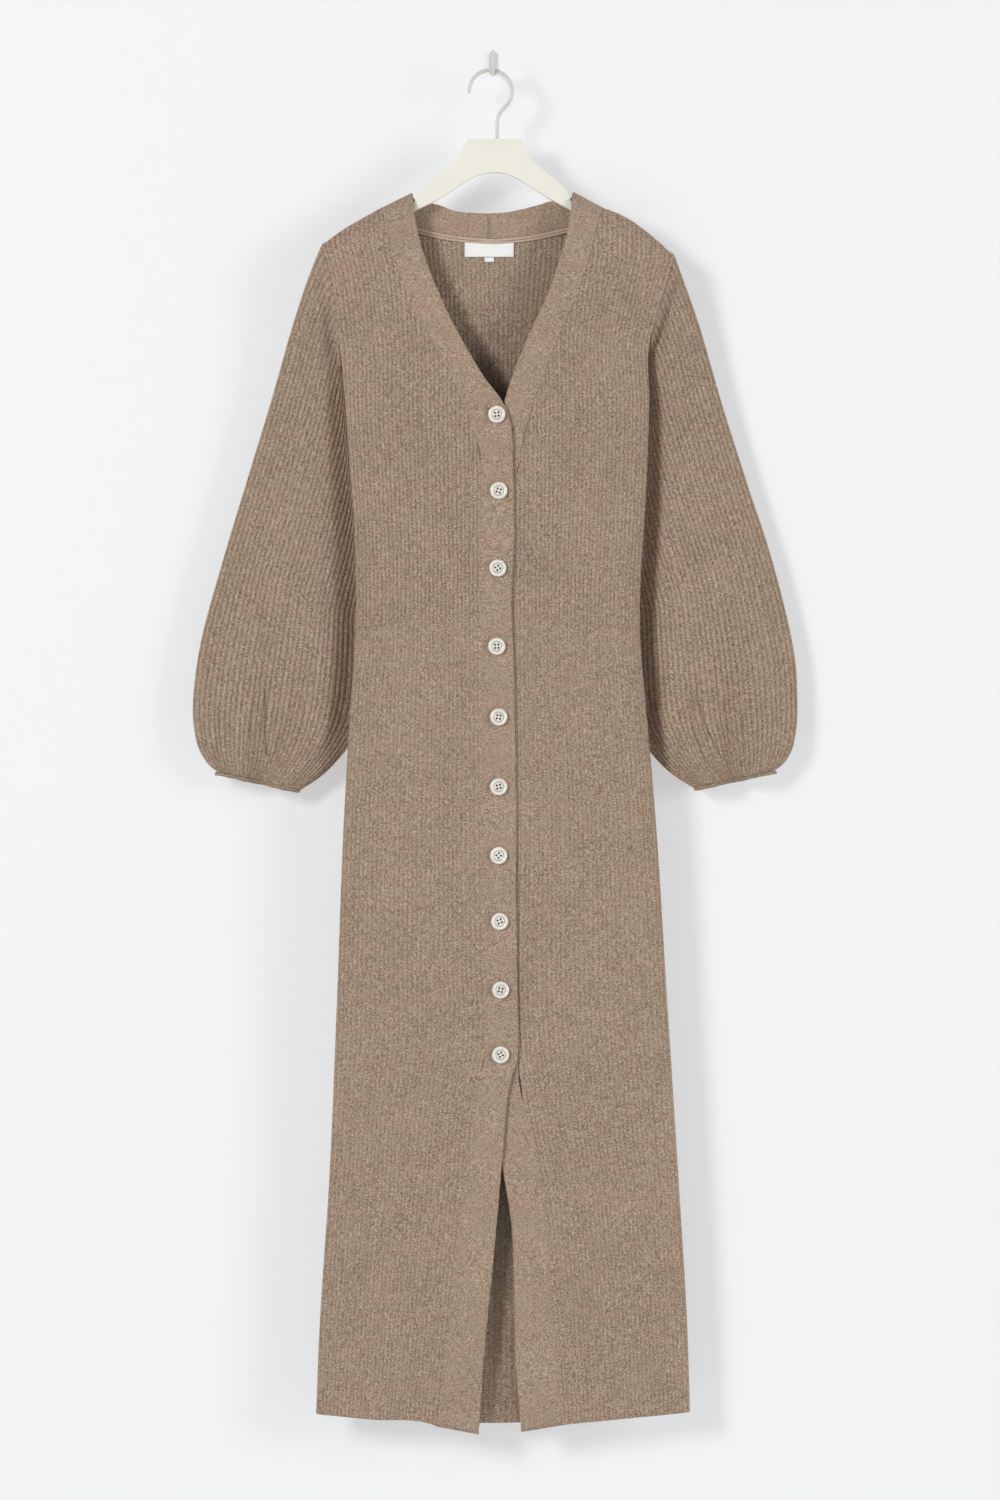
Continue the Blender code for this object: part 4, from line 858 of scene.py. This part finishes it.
def sleeve_points(table, side, stations, angles):
    """Points on the outside of a sleeve, for grids of stations and angles."""
    outer_x, outer_z, inner_x, inner_z, middle_y, half_depth = sleeve_columns(table, stations)
    along, deep = superellipse(angles)
    share = 0.5 + 0.5 * along
    x = inner_x + (outer_x - inner_x) * share
    z = inner_z + (outer_z - inner_z) * share
    beside = side["sign"] * (x - read(side["edge"], z))
    pressed = ((1 - PRESSED_SHARE) * (1 - smooth_step(beside, PRESSED_FROM, PRESSED_REACH))
               * smooth_step(stations, 0.1, 0.9))
    y = middle_y - half_depth * deep * np.where(deep > 0, 1 - pressed, 1)
    near_fold = (1 - share) ** 4
    apart = side["sign"] * (inner_x - read(side["edge"], inner_z))
    too_far = np.maximum(0, apart - np.interp(stations, FOLD_STATIONS, FOLD_APART))
    x = x - side["sign"] * too_far * near_fold * (1 - smooth_step(stations, 2.0, 2.8))
    y = y + FOLD_BACK * near_fold * smooth_step(stations, 0.1, 0.6) * (1 - smooth_step(stations, 1.4, 2.4))
    # the top follows the armhole
    follow = np.clip(1 - stations / 2, 0, 1) ** 2
    top_outer_x, top_outer_z, top_inner_x, top_inner_z, top_y = table[0][:5]
    height = top_inner_z + (top_outer_z - top_inner_z) * share
    straight = top_inner_x + (top_outer_x - top_inner_x) * share
    x = x + (read(side["edge"], height) - side["sign"] * 0.4 - straight) * follow * np.minimum(1, 4 * share)
    y = y + (read(DEPTHS, height, 3) - top_y) * follow
    turn = angles / (2 * math.pi)
    for place, width, depth, start, full in SLEEVE_FOLDS:
        apart = np.clip(np.abs((turn - place + 0.5) % 1 - 0.5) / width, 0, 1)
        y = y + depth * smooth_step(stations, start, full) * (0.5 + 0.5 * np.cos(math.pi * apart)) * np.where(
            deep > 0, 1, -1)
    return np.stack([x, y, z], axis=-1)


def even_angles(ratio, places):
    """Angles at shares of the way round a flattened section."""
    angles = np.linspace(0, 2 * math.pi, 1441)
    along, deep = superellipse(angles)
    lengths = np.concatenate([[0], np.cumsum(np.hypot(np.diff(along), np.diff(deep) * ratio))])
    return np.interp(places * lengths[-1], lengths, angles)


RIBS_FREE = 0.8            # of a half section, past which the hidden ribs close up


def rib_places(columns, pitch, length):
    """How far round a half section each rib lies: evenly from the outer fold, and close together at the
    end, where more ribs hide than have room."""
    half = SLEEVE_RIBS / 2
    count = np.where(columns > half, SLEEVE_RIBS - columns, columns)
    wanted = half * pitch / length
    reach = count * pitch / length
    if wanted <= 1.0:
        place = count / half
    else:
        power = (wanted - RIBS_FREE) / (1 - RIBS_FREE)
        rest = np.clip((reach - RIBS_FREE) / (wanted - RIBS_FREE), 0, 1)
        place = np.where(reach < RIBS_FREE, reach, RIBS_FREE + (1 - RIBS_FREE) * (1 - (1 - rest) ** power))
        place = 0.93 * place + 0.07 * count / half
    return np.where(columns > half, 1 - place / 2, place / 2)


SLEEVE_STATIONS = np.concatenate([[0, 0.03, 0.08, 0.16, 0.28, 0.42, 0.6, 0.8], np.linspace(1.0, 9.7, 74),
                                  [9.82, 9.92, 10.0]])
GATHER_FROM, GATHER_FULL = 5.0, 7.5          # the ribs run evenly round from here to the cuff
ANGLE_STEP, STATION_STEP = 0.04, 0.05        # over which the directions out of a sleeve are measured


def sleeve_angles(table, columns):
    """Angles of the ribs' columns at each station, and the pitch that a rib has there."""
    rows = np.stack(sleeve_columns(table, SLEEVE_STATIONS), axis=1)
    run = np.gradient(rows[:, :2], axis=0)
    run /= np.linalg.norm(run, axis=1)[:, None]
    swing = wander(SLEEVE_RIBS + 1, len(SLEEVE_STATIONS), SLEEVE_RIB_SWING).T
    angles, crowding = [], []
    for index, row in enumerate(rows):
        chord = row[2:4] - row[0:2]
        width = np.linalg.norm(chord)
        slant = abs(chord[0] * run[index, 1] - chord[1] * run[index, 0]) / width
        gather = smooth_step(SLEEVE_STATIONS[index], GATHER_FROM, GATHER_FULL)
        moved = np.clip(columns + swing[index, np.round(columns).astype(int) % SLEEVE_RIBS]
                        * np.minimum(1, columns), 0, SLEEVE_RIBS - 0.1)
        spread = rib_places(moved, SLEEVE_RIB_PITCH / slant, width + row[5])
        spread = spread * (1 - gather) + moved / SLEEVE_RIBS * gather
        angles.append(even_angles(row[5] / (width / 2), spread))
        crowding.append(np.gradient(spread) / np.gradient(columns) * 2 * (width + row[5]))
    return np.array(angles), np.array(crowding)


def sleeve_normals(table, side, grid, angles, points):
    round_it = (sleeve_points(table, side, grid, angles + ANGLE_STEP)
                - sleeve_points(table, side, grid, angles - ANGLE_STEP))
    down_it = (sleeve_points(table, side, np.minimum(grid + STATION_STEP, 10), angles)
               - sleeve_points(table, side, np.maximum(grid - STATION_STEP, 0), angles))
    normals = np.cross(round_it, down_it)
    centre = points.mean(axis=1, keepdims=True)
    normals *= np.sign((normals * (points - centre)).sum(axis=-1, keepdims=True))
    normals /= np.linalg.norm(normals, axis=-1, keepdims=True)
    # at the armhole the cloth doesn't thicken into the body
    away = normals[:2, :, 0] * side["sign"] > 0
    normals[:2, :, 0] = np.where(away, 0, normals[:2, :, 0])
    return normals / np.linalg.norm(normals, axis=-1, keepdims=True)


def make_sleeve(word, table, side):
    columns = rib_columns(SLEEVE_RIBS)[:-1]
    angles, crowding = sleeve_angles(table, columns)
    grid = np.broadcast_to(SLEEVE_STATIONS[:, None], angles.shape)
    points = sleeve_points(table, side, grid, angles)
    normals = sleeve_normals(table, side, grid, angles, points)
    from_top, from_bottom, fade = down_columns(points)
    profile = rib_profile(columns)[None] * np.clip(crowding / 4.0, 0, 1)
    height = (-VALLEY_SINK + (SLEEVE_RIB + VALLEY_SINK) * profile * fade
              - seam_dip(from_top, 0.5, 2.0) - seam_dip(from_bottom, 0.2, 3.0))
    inner = -KNIT_WALL + 0.4 * profile * fade
    uv = np.stack([np.broadcast_to(columns[None], angles.shape), from_top], axis=-1)
    piece = shell("knit_sleeve_" + word, points + normals * height[..., None],
                  points + normals * inner[..., None], uv, SLEEVE_KNIT, closed=True)
    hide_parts("sleeve_" + word)
    make_cuff(word, table, side)


def make_cuff(word, table, side):
    """A narrow edge of fine knit that rolls outwards."""
    last = len(table) - 1.0
    row = table[-1]
    width = math.hypot(row[0] - row[2], row[1] - row[3]) / 2
    angles = even_angles(row[5] / width, np.arange(CUFF_POINTS) / CUFF_POINTS)
    ends = sleeve_points(table, side, np.full(CUFF_POINTS, last), angles)
    before = sleeve_points(table, side, np.full(CUFF_POINTS, last - 0.02), angles)
    run = (ends - before).mean(axis=0)
    run /= np.linalg.norm(run)
    out = np.cross(np.roll(ends, -1, axis=0) - np.roll(ends, 1, axis=0), run)
    out *= np.sign((out * (ends - ends.mean(axis=0))).sum(axis=1))[:, None]
    out /= np.linalg.norm(out, axis=1)[:, None]
    turns = np.linspace(0, 1, 13)
    waver = 1.1 * wander(1, CUFF_POINTS, 1.0, (1.0, 2.0, 5.0, 13.0))[0][:, None]
    outer, inner = [], []
    for turn in turns:
        bend = math.pi * turn
        outer.append(ends + out * (-CUFF_SINK + CUFF_ROLL * math.sin(bend))
                     + run * (CUFF_DROP - 0.3 + waver) * (0.5 - 0.5 * math.cos(bend)))
        inner.append(ends + out * (-2.5 + 0.9 * turn) + run * (CUFF_DROP - 0.9 + waver) * turn)
    outer, inner = np.array(outer), np.array(inner)
    uv = np.stack([np.broadcast_to(np.linspace(0, 4, len(turns))[:, None], outer.shape[:2]),
                   np.broadcast_to(np.arange(CUFF_POINTS)[None] * 1.2, outer.shape[:2])], axis=-1)
    piece = shell("knit_cuff_" + word, outer, inner, uv, SLEEVE_KNIT, closed=True)
    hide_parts("cuff_" + word)
    return piece


# ---------------------------------------------------------------- small pieces
def mesh_from(name, points, faces):
    mesh = bpy.data.meshes.new(name)
    mesh.from_pydata([tuple(float(value) * MM for value in point) for point in points], [], faces)
    return face_outwards(mesh)


def ring_faces(rings, sides):
    """The faces between rings of points, where each ring has one point a side."""
    return [(ring * sides + index, ring * sides + (index + 1) % sides,
             (ring + 1) * sides + (index + 1) % sides, (ring + 1) * sides + index)
            for ring in range(rings - 1) for index in range(sides)]


def joined(parts):
    """The points and faces of several parts, as one list of each."""
    points, faces = [], []
    for part_points, part_faces in parts:
        faces += [tuple(index + len(points) for index in face) for face in part_faces]
        points += list(part_points)
    return points, faces


def arc(centre, radius, start, stop, step):
    """Points round a centre, at steps in degrees."""
    angles = [math.radians(degrees) for degrees in range(start, stop, step)]
    return [(centre[0] + radius * math.cos(angle), centre[1] + radius * math.sin(angle)) for angle in angles]


def turned(name, profile, sides):
    """A turned mesh round +Z from rows of radius and height. The first and last radius are 0."""
    points = []
    for radius, height in profile[1:-1]:
        for index in range(sides):
            angle = 2 * math.pi * index / sides
            points.append((radius * math.cos(angle), radius * math.sin(angle), height))
    rings = len(profile) - 2
    faces = ring_faces(rings, sides)
    points += [(0, 0, profile[0][1]), (0, 0, profile[-1][1])]
    last = (rings - 1) * sides
    for index in range(sides):
        after = (index + 1) % sides
        faces.append((index, after, len(points) - 2))
        faces.append((last + index, last + after, len(points) - 1))
    return mesh_from(name, points, faces)


def tube_points(path, radius, sides, ends=True):
    """Points and faces of a round bar along a path, with rounded ends."""
    path = np.array(path, dtype=float)
    radii = np.full(len(path), float(radius)) if np.isscalar(radius) else np.array(radius, dtype=float)
    tangents = np.gradient(path, axis=0)
    tangents /= np.linalg.norm(tangents, axis=1)[:, None]
    if ends:
        caps = [(0.0, 0.0), (0.13, 0.5), (0.5, 0.87)]
        start = [path[0] - tangents[0] * radii[0] * (1 - at) for at, _ in caps]
        stop = [path[-1] + tangents[-1] * radii[-1] * (1 - at) for at, _ in reversed(caps)]
        sizes = [radii[0] * max(size, 0.05) for _, size in caps]
        end_sizes = [radii[-1] * max(size, 0.05) for _, size in reversed(caps)]
        path = np.concatenate([start, path, stop])
        tangents = np.concatenate([[tangents[0]] * 3, tangents, [tangents[-1]] * 3])
        radii = np.concatenate([sizes, radii, end_sizes])
    reference = np.array([0.0, 1.0, 0.0])
    points = []
    for centre, tangent, size in zip(path, tangents, radii):
        if abs(tangent @ reference) > 0.9:
            reference = np.array([1.0, 0.0, 0.0])
        first = reference - tangent * (tangent @ reference)
        first /= np.linalg.norm(first)
        reference = first
        second = np.cross(tangent, first)
        for step in range(sides):
            angle = 2 * math.pi * step / sides
            points.append(centre + size * (first * math.cos(angle) + second * math.sin(angle)))
    rings = len(path)
    faces = ring_faces(rings, sides)
    faces += [tuple(range(sides)), tuple(range((rings - 1) * sides, rings * sides))]
    return points, faces


def bar(name, path, radius, sides, material):
    points, faces = tube_points(path, radius, sides)
    return link(name, mesh_from(name, points, faces), material)


BUTTON_PROFILE = (
    # radius, height
    (0, 0.35), (6.8, 0.35), (8.3, 0.9), (8.9, 1.6), (9.0, 2.1), (8.75, 2.75), (8.1, 3.2), (7.2, 3.35),
    (6.3, 3.2), (5.6, 2.75), (5.1, 2.3), (4.6, 2.12), (3.0, 1.98), (0, 1.95),
)
BUTTON_SIDES = 56
# radii of the ring of painted shade where the rim slopes down into the dished middle
PAINTED_SHADE_RING = (4.7, 5.4)     # radii
HOLES = [(across_it * 1.75, up_it * 1.75) for across_it in (-1, 1) for up_it in (-1, 1)]
HOLE_RADIUS = 1.15
STITCH_RADIUS = 0.95       # of the thread that fills a hole
STITCH_FROM, STITCH_TO = 0.2, 0.9


def button_mesh():
    """A shell button: a raised round rim, a dished middle and four holes."""
    blank = put("button_blank", turned("shell_button", BUTTON_PROFILE, BUTTON_SIDES))
    holes = joined([tube_points([(x, y, 0.0), (x, y, 3.0)], HOLE_RADIUS, 16, False) for x, y in HOLES])
    drill = put("button_drill", mesh_from("button_drill", *holes))
    cut = blank.modifiers.new("holes", "BOOLEAN")
    cut.operation = "DIFFERENCE"
    cut.object = drill
    bpy.context.view_layer.update()
    drilled = bpy.data.meshes.new_from_object(blank.evaluated_get(bpy.context.evaluated_depsgraph_get()))
    bpy.data.objects.remove(blank)
    bpy.data.objects.remove(drill)
    drilled.materials.clear()
    drilled.materials.append(SHELL)
    drilled.materials.append(SHELL_GROOVE_SHADE)
    for face in drilled.polygons:
        away = math.hypot(face.center[0], face.center[1])
        # the faces on the rim's inner slope take the painted groove shade
        face.material_index = 1 if PAINTED_SHADE_RING[0] * MM < away < PAINTED_SHADE_RING[1] * MM else 0
    drilled.shade_smooth()
    drilled.set_sharp_from_angle(angle=math.radians(50))
    return drilled


def make_buttons():
    drilled = button_mesh()
    for number, (x, z, turn) in enumerate(BUTTONS, start=1):
        point, normal = body("front", np.array([x]), np.array([z]), True)
        point, normal = point[0], normal[0]
        right = np.cross([0.0, 0.0, 1.0], -normal)
        right /= np.linalg.norm(right)
        up = np.cross(normal, right)
        spin = math.radians(turn)
        first = right * math.cos(spin) + up * math.sin(spin)
        second = np.cross(normal, first)
        place = point + normal * (SEAM_GAP + 0.1)
        made = put("shell_button_%02d" % number, drilled.copy())
        for vertex in made.data.vertices:
            local = np.array(vertex.co) / MM
            moved = place + first * local[0] + second * local[1] + normal * local[2]
            vertex.co = tuple(moved * MM)
        made.data.update()
        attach(made, "root")
        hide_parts("button_%02d" % number)
        stitches = []
        for hole_x, hole_y in HOLES:
            corner = place + first * hole_x + second * hole_y
            stitches.append(tube_points([corner + normal * STITCH_FROM, corner + normal * STITCH_TO],
                                        STITCH_RADIUS, 10))
        link("button_thread_%02d" % number, mesh_from("button_thread", *joined(stitches)), THREAD)


TAPE_NEAR, TAPE_FAR = 0.55, 1.05             # its two faces' distances from the inside of the back
TAPE_COLUMNS, TAPE_ROWS = 24, 8


def tape(name, size, node):
    """A flat woven tape on the inside of the back, a little wavy along its lower edge."""
    across_it = np.linspace(0, 1, TAPE_COLUMNS + 1)
    down_it = np.linspace(0, 1, TAPE_ROWS + 1)
    x = size["x0"] + (size["x1"] - size["x0"]) * across_it
    z = size["top"] + (size["bottom"] - size["top"]) * down_it
    grid_x, grid_z = np.meshgrid(x, z)
    points, normals = body("back", grid_x, grid_z)
    sag = 0.25 * np.sin(across_it * math.pi * 3)[None] * down_it[:, None]
    near = points - normals * (KNIT_WALL + TAPE_NEAR + sag)[..., None]
    far = points - normals * (KNIT_WALL + TAPE_FAR + sag)[..., None]
    uv = np.stack([grid_x, grid_z], axis=-1)
    piece = shell(name, near, far, uv, TAPE)
    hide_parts(node)
    return piece, points


LINKED_ROWS = ((1.0, 1.1), (3.9, 0.7))       # drop below the band's seam, distance from the cloth
LINKED_REACH = 96
LINKED_RADIUS, LINKED_TWIST = 1.4, 0.25


def linked_seam():
    """The raised double row of stitches where the band is linked on, on the inside of the back neck."""
    left, right = ([(row[2], row[3]) for row in rows]
                   for rows in (LEFT_NECK[-1:] + LEFT_BACK_NECK, RIGHT_NECK[-1:] + RIGHT_BACK_NECK))
    table = through(left + right[::-1][1:], 14)
    table = table[np.abs(table[:, 0]) < LINKED_REACH]
    for number, (drop, out) in enumerate(LINKED_ROWS, start=1):
        points, normals = body("back", table[:, 0], table[:, 1] - drop)
        fine = through(points - normals * (KNIT_WALL + out), 4)
        twist = LINKED_RADIUS + LINKED_TWIST * np.sin(np.arange(len(fine)) * 2 * math.pi / 5.0)
        bar("linked_seam_%d" % number, fine, twist, 8, SEAM_YARN)


# ---------------------------------------------------------------- hanger and hooks
HANGER_TOP = (
    # x, z of the upper edge, from the left tip to the right one
    (-166, -199), (-158, -191.5), (-136, -175.5), (-112, -163), (-93, -159.5), (-84, -152), (-78.5, -140),
    (-70, -131), (-56, -121), (-41, -109), (-33, -95), (-27, -86), (-22, -84),
    (25, -84), (30, -86), (36, -96), (42, -107), (58, -120.5), (70, -130.5), (78, -140), (83.5, -152),
    (92, -159.5), (110, -163), (142, -178.5), (162, -193.5), (170, -203),
)
HANGER_BOTTOM = (
    # x, z of the lower edge, from the right tip to the left one
    (168, -209), (140, -193), (110, -175), (82, -159), (62, -148), (35, -131), (18, -122), (2, -119),
    (-15, -122), (-32, -131), (-59, -148), (-83, -160), (-110, -176), (-136, -191), (-162, -206),
)


def make_hanger():
    outline = np.concatenate([through(HANGER_TOP, 5), through(HANGER_BOTTOM, 6)])
    half = HANGER_THICKNESS / 2
    count = len(outline)
    points = [(x, HANGER_Y - half, z) for x, z in outline] + [(x, HANGER_Y + half, z) for x, z in outline]
    faces = [tuple(range(count)), tuple(range(2 * count - 1, count - 1, -1))] + ring_faces(2, count)
    piece = link("beech_hanger", mesh_from("beech_hanger", points, faces), LACQUER)
    bevel = piece.modifiers.new("rounded edges", "BEVEL")
    bevel.width = HANGER_EDGE * MM
    bevel.segments = 4
    bevel.limit_method = "ANGLE"
    bevel.angle_limit = math.radians(60)
    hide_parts("hanger")


HOOK_NECK = ((8.2, -55.0), (5.2, -61.0), (4.4, -68.0), (4.4, -83.7))   # x, z, from the bend to the hanger
WALL_HOOK_BEND = 7         # radius of the seat
WALL_HOOK_TIP = 1.1        # radius of the wire where it ends
PLATE_RADIUS, PLATE_CENTRE = 4.5, 8.5        # of the round ends of the plate on the wall
PLATE_FACE = {"x": 0.9, "z": 0.97, "front": -2.0, "edge": -1.5}


def make_hooks():
    path = [(x, HANGER_Y, z) for x, z in arc(HOOK_CENTRE, HOOK_RADIUS, 180, -46, -5)]
    bend = through([path[-1]] + [(x, HANGER_Y, z) for x, z in HOOK_NECK], 8)
    piece = bar("hanger_wire", path[:-1] + [tuple(point) for point in bend], WIRE_RADIUS, 24, WIRE_PAINT)
    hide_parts("hanger_hook")

    seat_z = HOOK_CENTRE[1] + HOOK_RADIUS - WIRE_RADIUS - SEAM_GAP - WALL_WIRE_RADIUS - 0.2
    path = [(0, -1.0, -8.0), (0, -8.0, -9.5), (0, -20.0, seat_z + 1.0), (0, HANGER_Y + 5, seat_z)]
    path += [(0, y, z) for y, z in arc((HANGER_Y, seat_z + WALL_HOOK_BEND), WALL_HOOK_BEND, -90, -181, -10)]
    path += [(0, HANGER_Y - 7.5, seat_z + 14), (0, HANGER_Y - 8.5, seat_z + 24)]
    path = through(path, 5)
    sizes = np.interp(np.arange(len(path)), [0, len(path) * 0.7, len(path) - 1],
                      [WALL_WIRE_RADIUS, WALL_WIRE_RADIUS, WALL_HOOK_TIP])
    outline = (arc((0, PLATE_CENTRE), PLATE_RADIUS, 0, 181, 10)
               + arc((0, -PLATE_CENTRE), PLATE_RADIUS, 180, 361, 10))
    count = len(outline)
    plate = [(x * PLATE_FACE["x"], PLATE_FACE["front"], z * PLATE_FACE["z"]) for x, z in outline]
    plate += [(x, PLATE_FACE["edge"], z) for x, z in outline] + [(x, 0.0, z) for x, z in outline]
    faces = [tuple(range(count)), tuple(range(3 * count - 1, 2 * count - 1, -1))] + ring_faces(3, count)
    whole = joined([(plate, faces), tube_points(path, sizes, 16)])
    piece = link("wall_hook_wire", mesh_from("wall_hook_wire", *whole), WIRE_PAINT)
    piece.data.set_sharp_from_angle(angle=math.radians(40))
    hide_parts("wall_hook")


# ---------------------------------------------------------------- stage, light and camera, metres
WALL_Y = 0.0005
WALL_HALF_WIDTH, WALL_TOP = 3, 1.6
FLOOR_HALF, FLOOR_Z = 6, -1.75
WORLD_COLOUR = (0.955, 0.97, 0.985, 1)
WORLD_STRENGTH = 0.2
LIGHTS = (
    # name, place, aim, size, power in watts, colour
    ("key", (-4.0, -4.4, 1.3), (0, 0, -0.7), (1.4, 1.9), 228, (1, 0.995, 0.985)),
    ("fill", (4.8, -2.6, 0.1), (0, 0, -0.8), (1.6, 2.4), 138, (0.98, 0.99, 1)),
    ("behind", (0.8, 2.6, 0.6), (0, 0, -0.7), (2.0, 2.0), 20, (1, 1, 1)),
)


def stage_plane(name, corners, material):
    mesh = bpy.data.meshes.new(name)
    mesh.from_pydata(corners, [], [(0, 1, 2, 3)])
    made = put(name, mesh)
    made.data.materials.append(material)


def make_stage():
    # a studio wall is washed with light of its own, so shadows on it stay faint
    paint, tree, shader = new_material("matt white wall", Roughness=0.9, Base_Color=srgb("#B4B5B7"),
                                       Emission_Color=srgb("#F5F7F9"), Emission_Strength=0.45)
    # it stands only in front of what it backs: from behind, and to the lights, it isn't there
    clear = add(tree, "ShaderNodeBsdfTransparent").outputs[0]
    behind = add(tree, "ShaderNodeNewGeometry").outputs["Backfacing"]
    to_light = add(tree, "ShaderNodeLightPath").outputs["Is Shadow Ray"]
    either = add(tree, "ShaderNodeMath", {0: behind, 1: to_light}, operation="MAXIMUM").outputs[0]
    mixed = add(tree, "ShaderNodeMixShader", {0: either, 1: shader.outputs[0], 2: clear}).outputs[0]
    tree.links.new(mixed, tree.nodes["Material Output"].inputs[0])
    stage_plane("wall", [(x, WALL_Y, z) for x, z in (
        (-WALL_HALF_WIDTH, FLOOR_Z), (WALL_HALF_WIDTH, FLOOR_Z), (WALL_HALF_WIDTH, WALL_TOP),
        (-WALL_HALF_WIDTH, WALL_TOP))], paint)
    floor, _, _ = new_material("pale floor", Roughness=0.8, Base_Color=srgb("#ECECEA"))
    stage_plane("floor", [(x * FLOOR_HALF, y * FLOOR_HALF, FLOOR_Z) for x, y in (
        (-1, -1), (1, -1), (1, 1), (-1, 1))], floor)


def area_light(name, place, aim, size, power, colour):
    data = bpy.data.lights.new(name, "AREA")
    data.shape = "RECTANGLE"
    data.size, data.size_y = size
    data.energy = power
    data.color = colour
    made = put(name, data)
    made.location = place
    made.rotation_euler = Vector(np.array(aim) - np.array(place)).to_track_quat("-Z", "Y").to_euler()


def make_light():
    # keeps the wall near white, as in a shop photo
    bpy.context.scene.view_settings.view_transform = "Standard"
    world = bpy.data.worlds.new("studio")
    bpy.context.scene.world = world
    world.use_nodes = True
    background = world.node_tree.nodes["Background"]
    background.inputs[0].default_value = WORLD_COLOUR
    background.inputs[1].default_value = WORLD_STRENGTH
    for light in LIGHTS:
        area_light(*light)


FRAME_SIZE = (1000, 1500)  # of the photograph, pixels
MM_A_PIXEL = 1.05
HOOK_PIXEL = (493, 58)     # where the wall hook's middle lies in it
CAMERA_AWAY = 6.0          # metres
SCALE_PLANE = -52.0        # the y at which a pixel is this large
SENSOR_WIDTH = 36
FAR_CLIP = 60


def make_camera():
    data = bpy.data.cameras.new("camera")
    data.sensor_width = SENSOR_WIDTH
    height = FRAME_SIZE[1] * MM_A_PIXEL * MM
    data.lens = data.sensor_width * CAMERA_AWAY / height
    data.clip_end = FAR_CLIP
    made = put("camera", data)
    made.location = ((FRAME_SIZE[0] / 2 - HOOK_PIXEL[0]) * MM_A_PIXEL * MM, SCALE_PLANE * MM - CAMERA_AWAY,
                     (HOOK_PIXEL[1] - FRAME_SIZE[1] / 2) * MM_A_PIXEL * MM)
    made.rotation_euler = (math.radians(90), 0, 0)
    bpy.context.scene.camera = made


# ---------------------------------------------------------------- the whole
body_panels()
make_band("left", LEFT_NECK, LEFT_BACK_NECK, LEFT_PLACKET, True, 0.05)
make_band("right", RIGHT_NECK, RIGHT_BACK_NECK, RIGHT_PLACKET, False, -0.05)
for side_word, sleeve_table, sleeve_side in (("left", LEFT_SLEEVE, LEFT), ("right", RIGHT_SLEEVE, RIGHT)):
    make_sleeve(side_word, sleeve_table, sleeve_side)
make_buttons()
label_tab, _ = tape("neck_label_tab", TAB, "label_tab")
label, label_form = tape("neck_label", LABEL, "label")
linked_seam()
make_hanger()
make_hooks()
make_stage()
make_light()
make_camera()
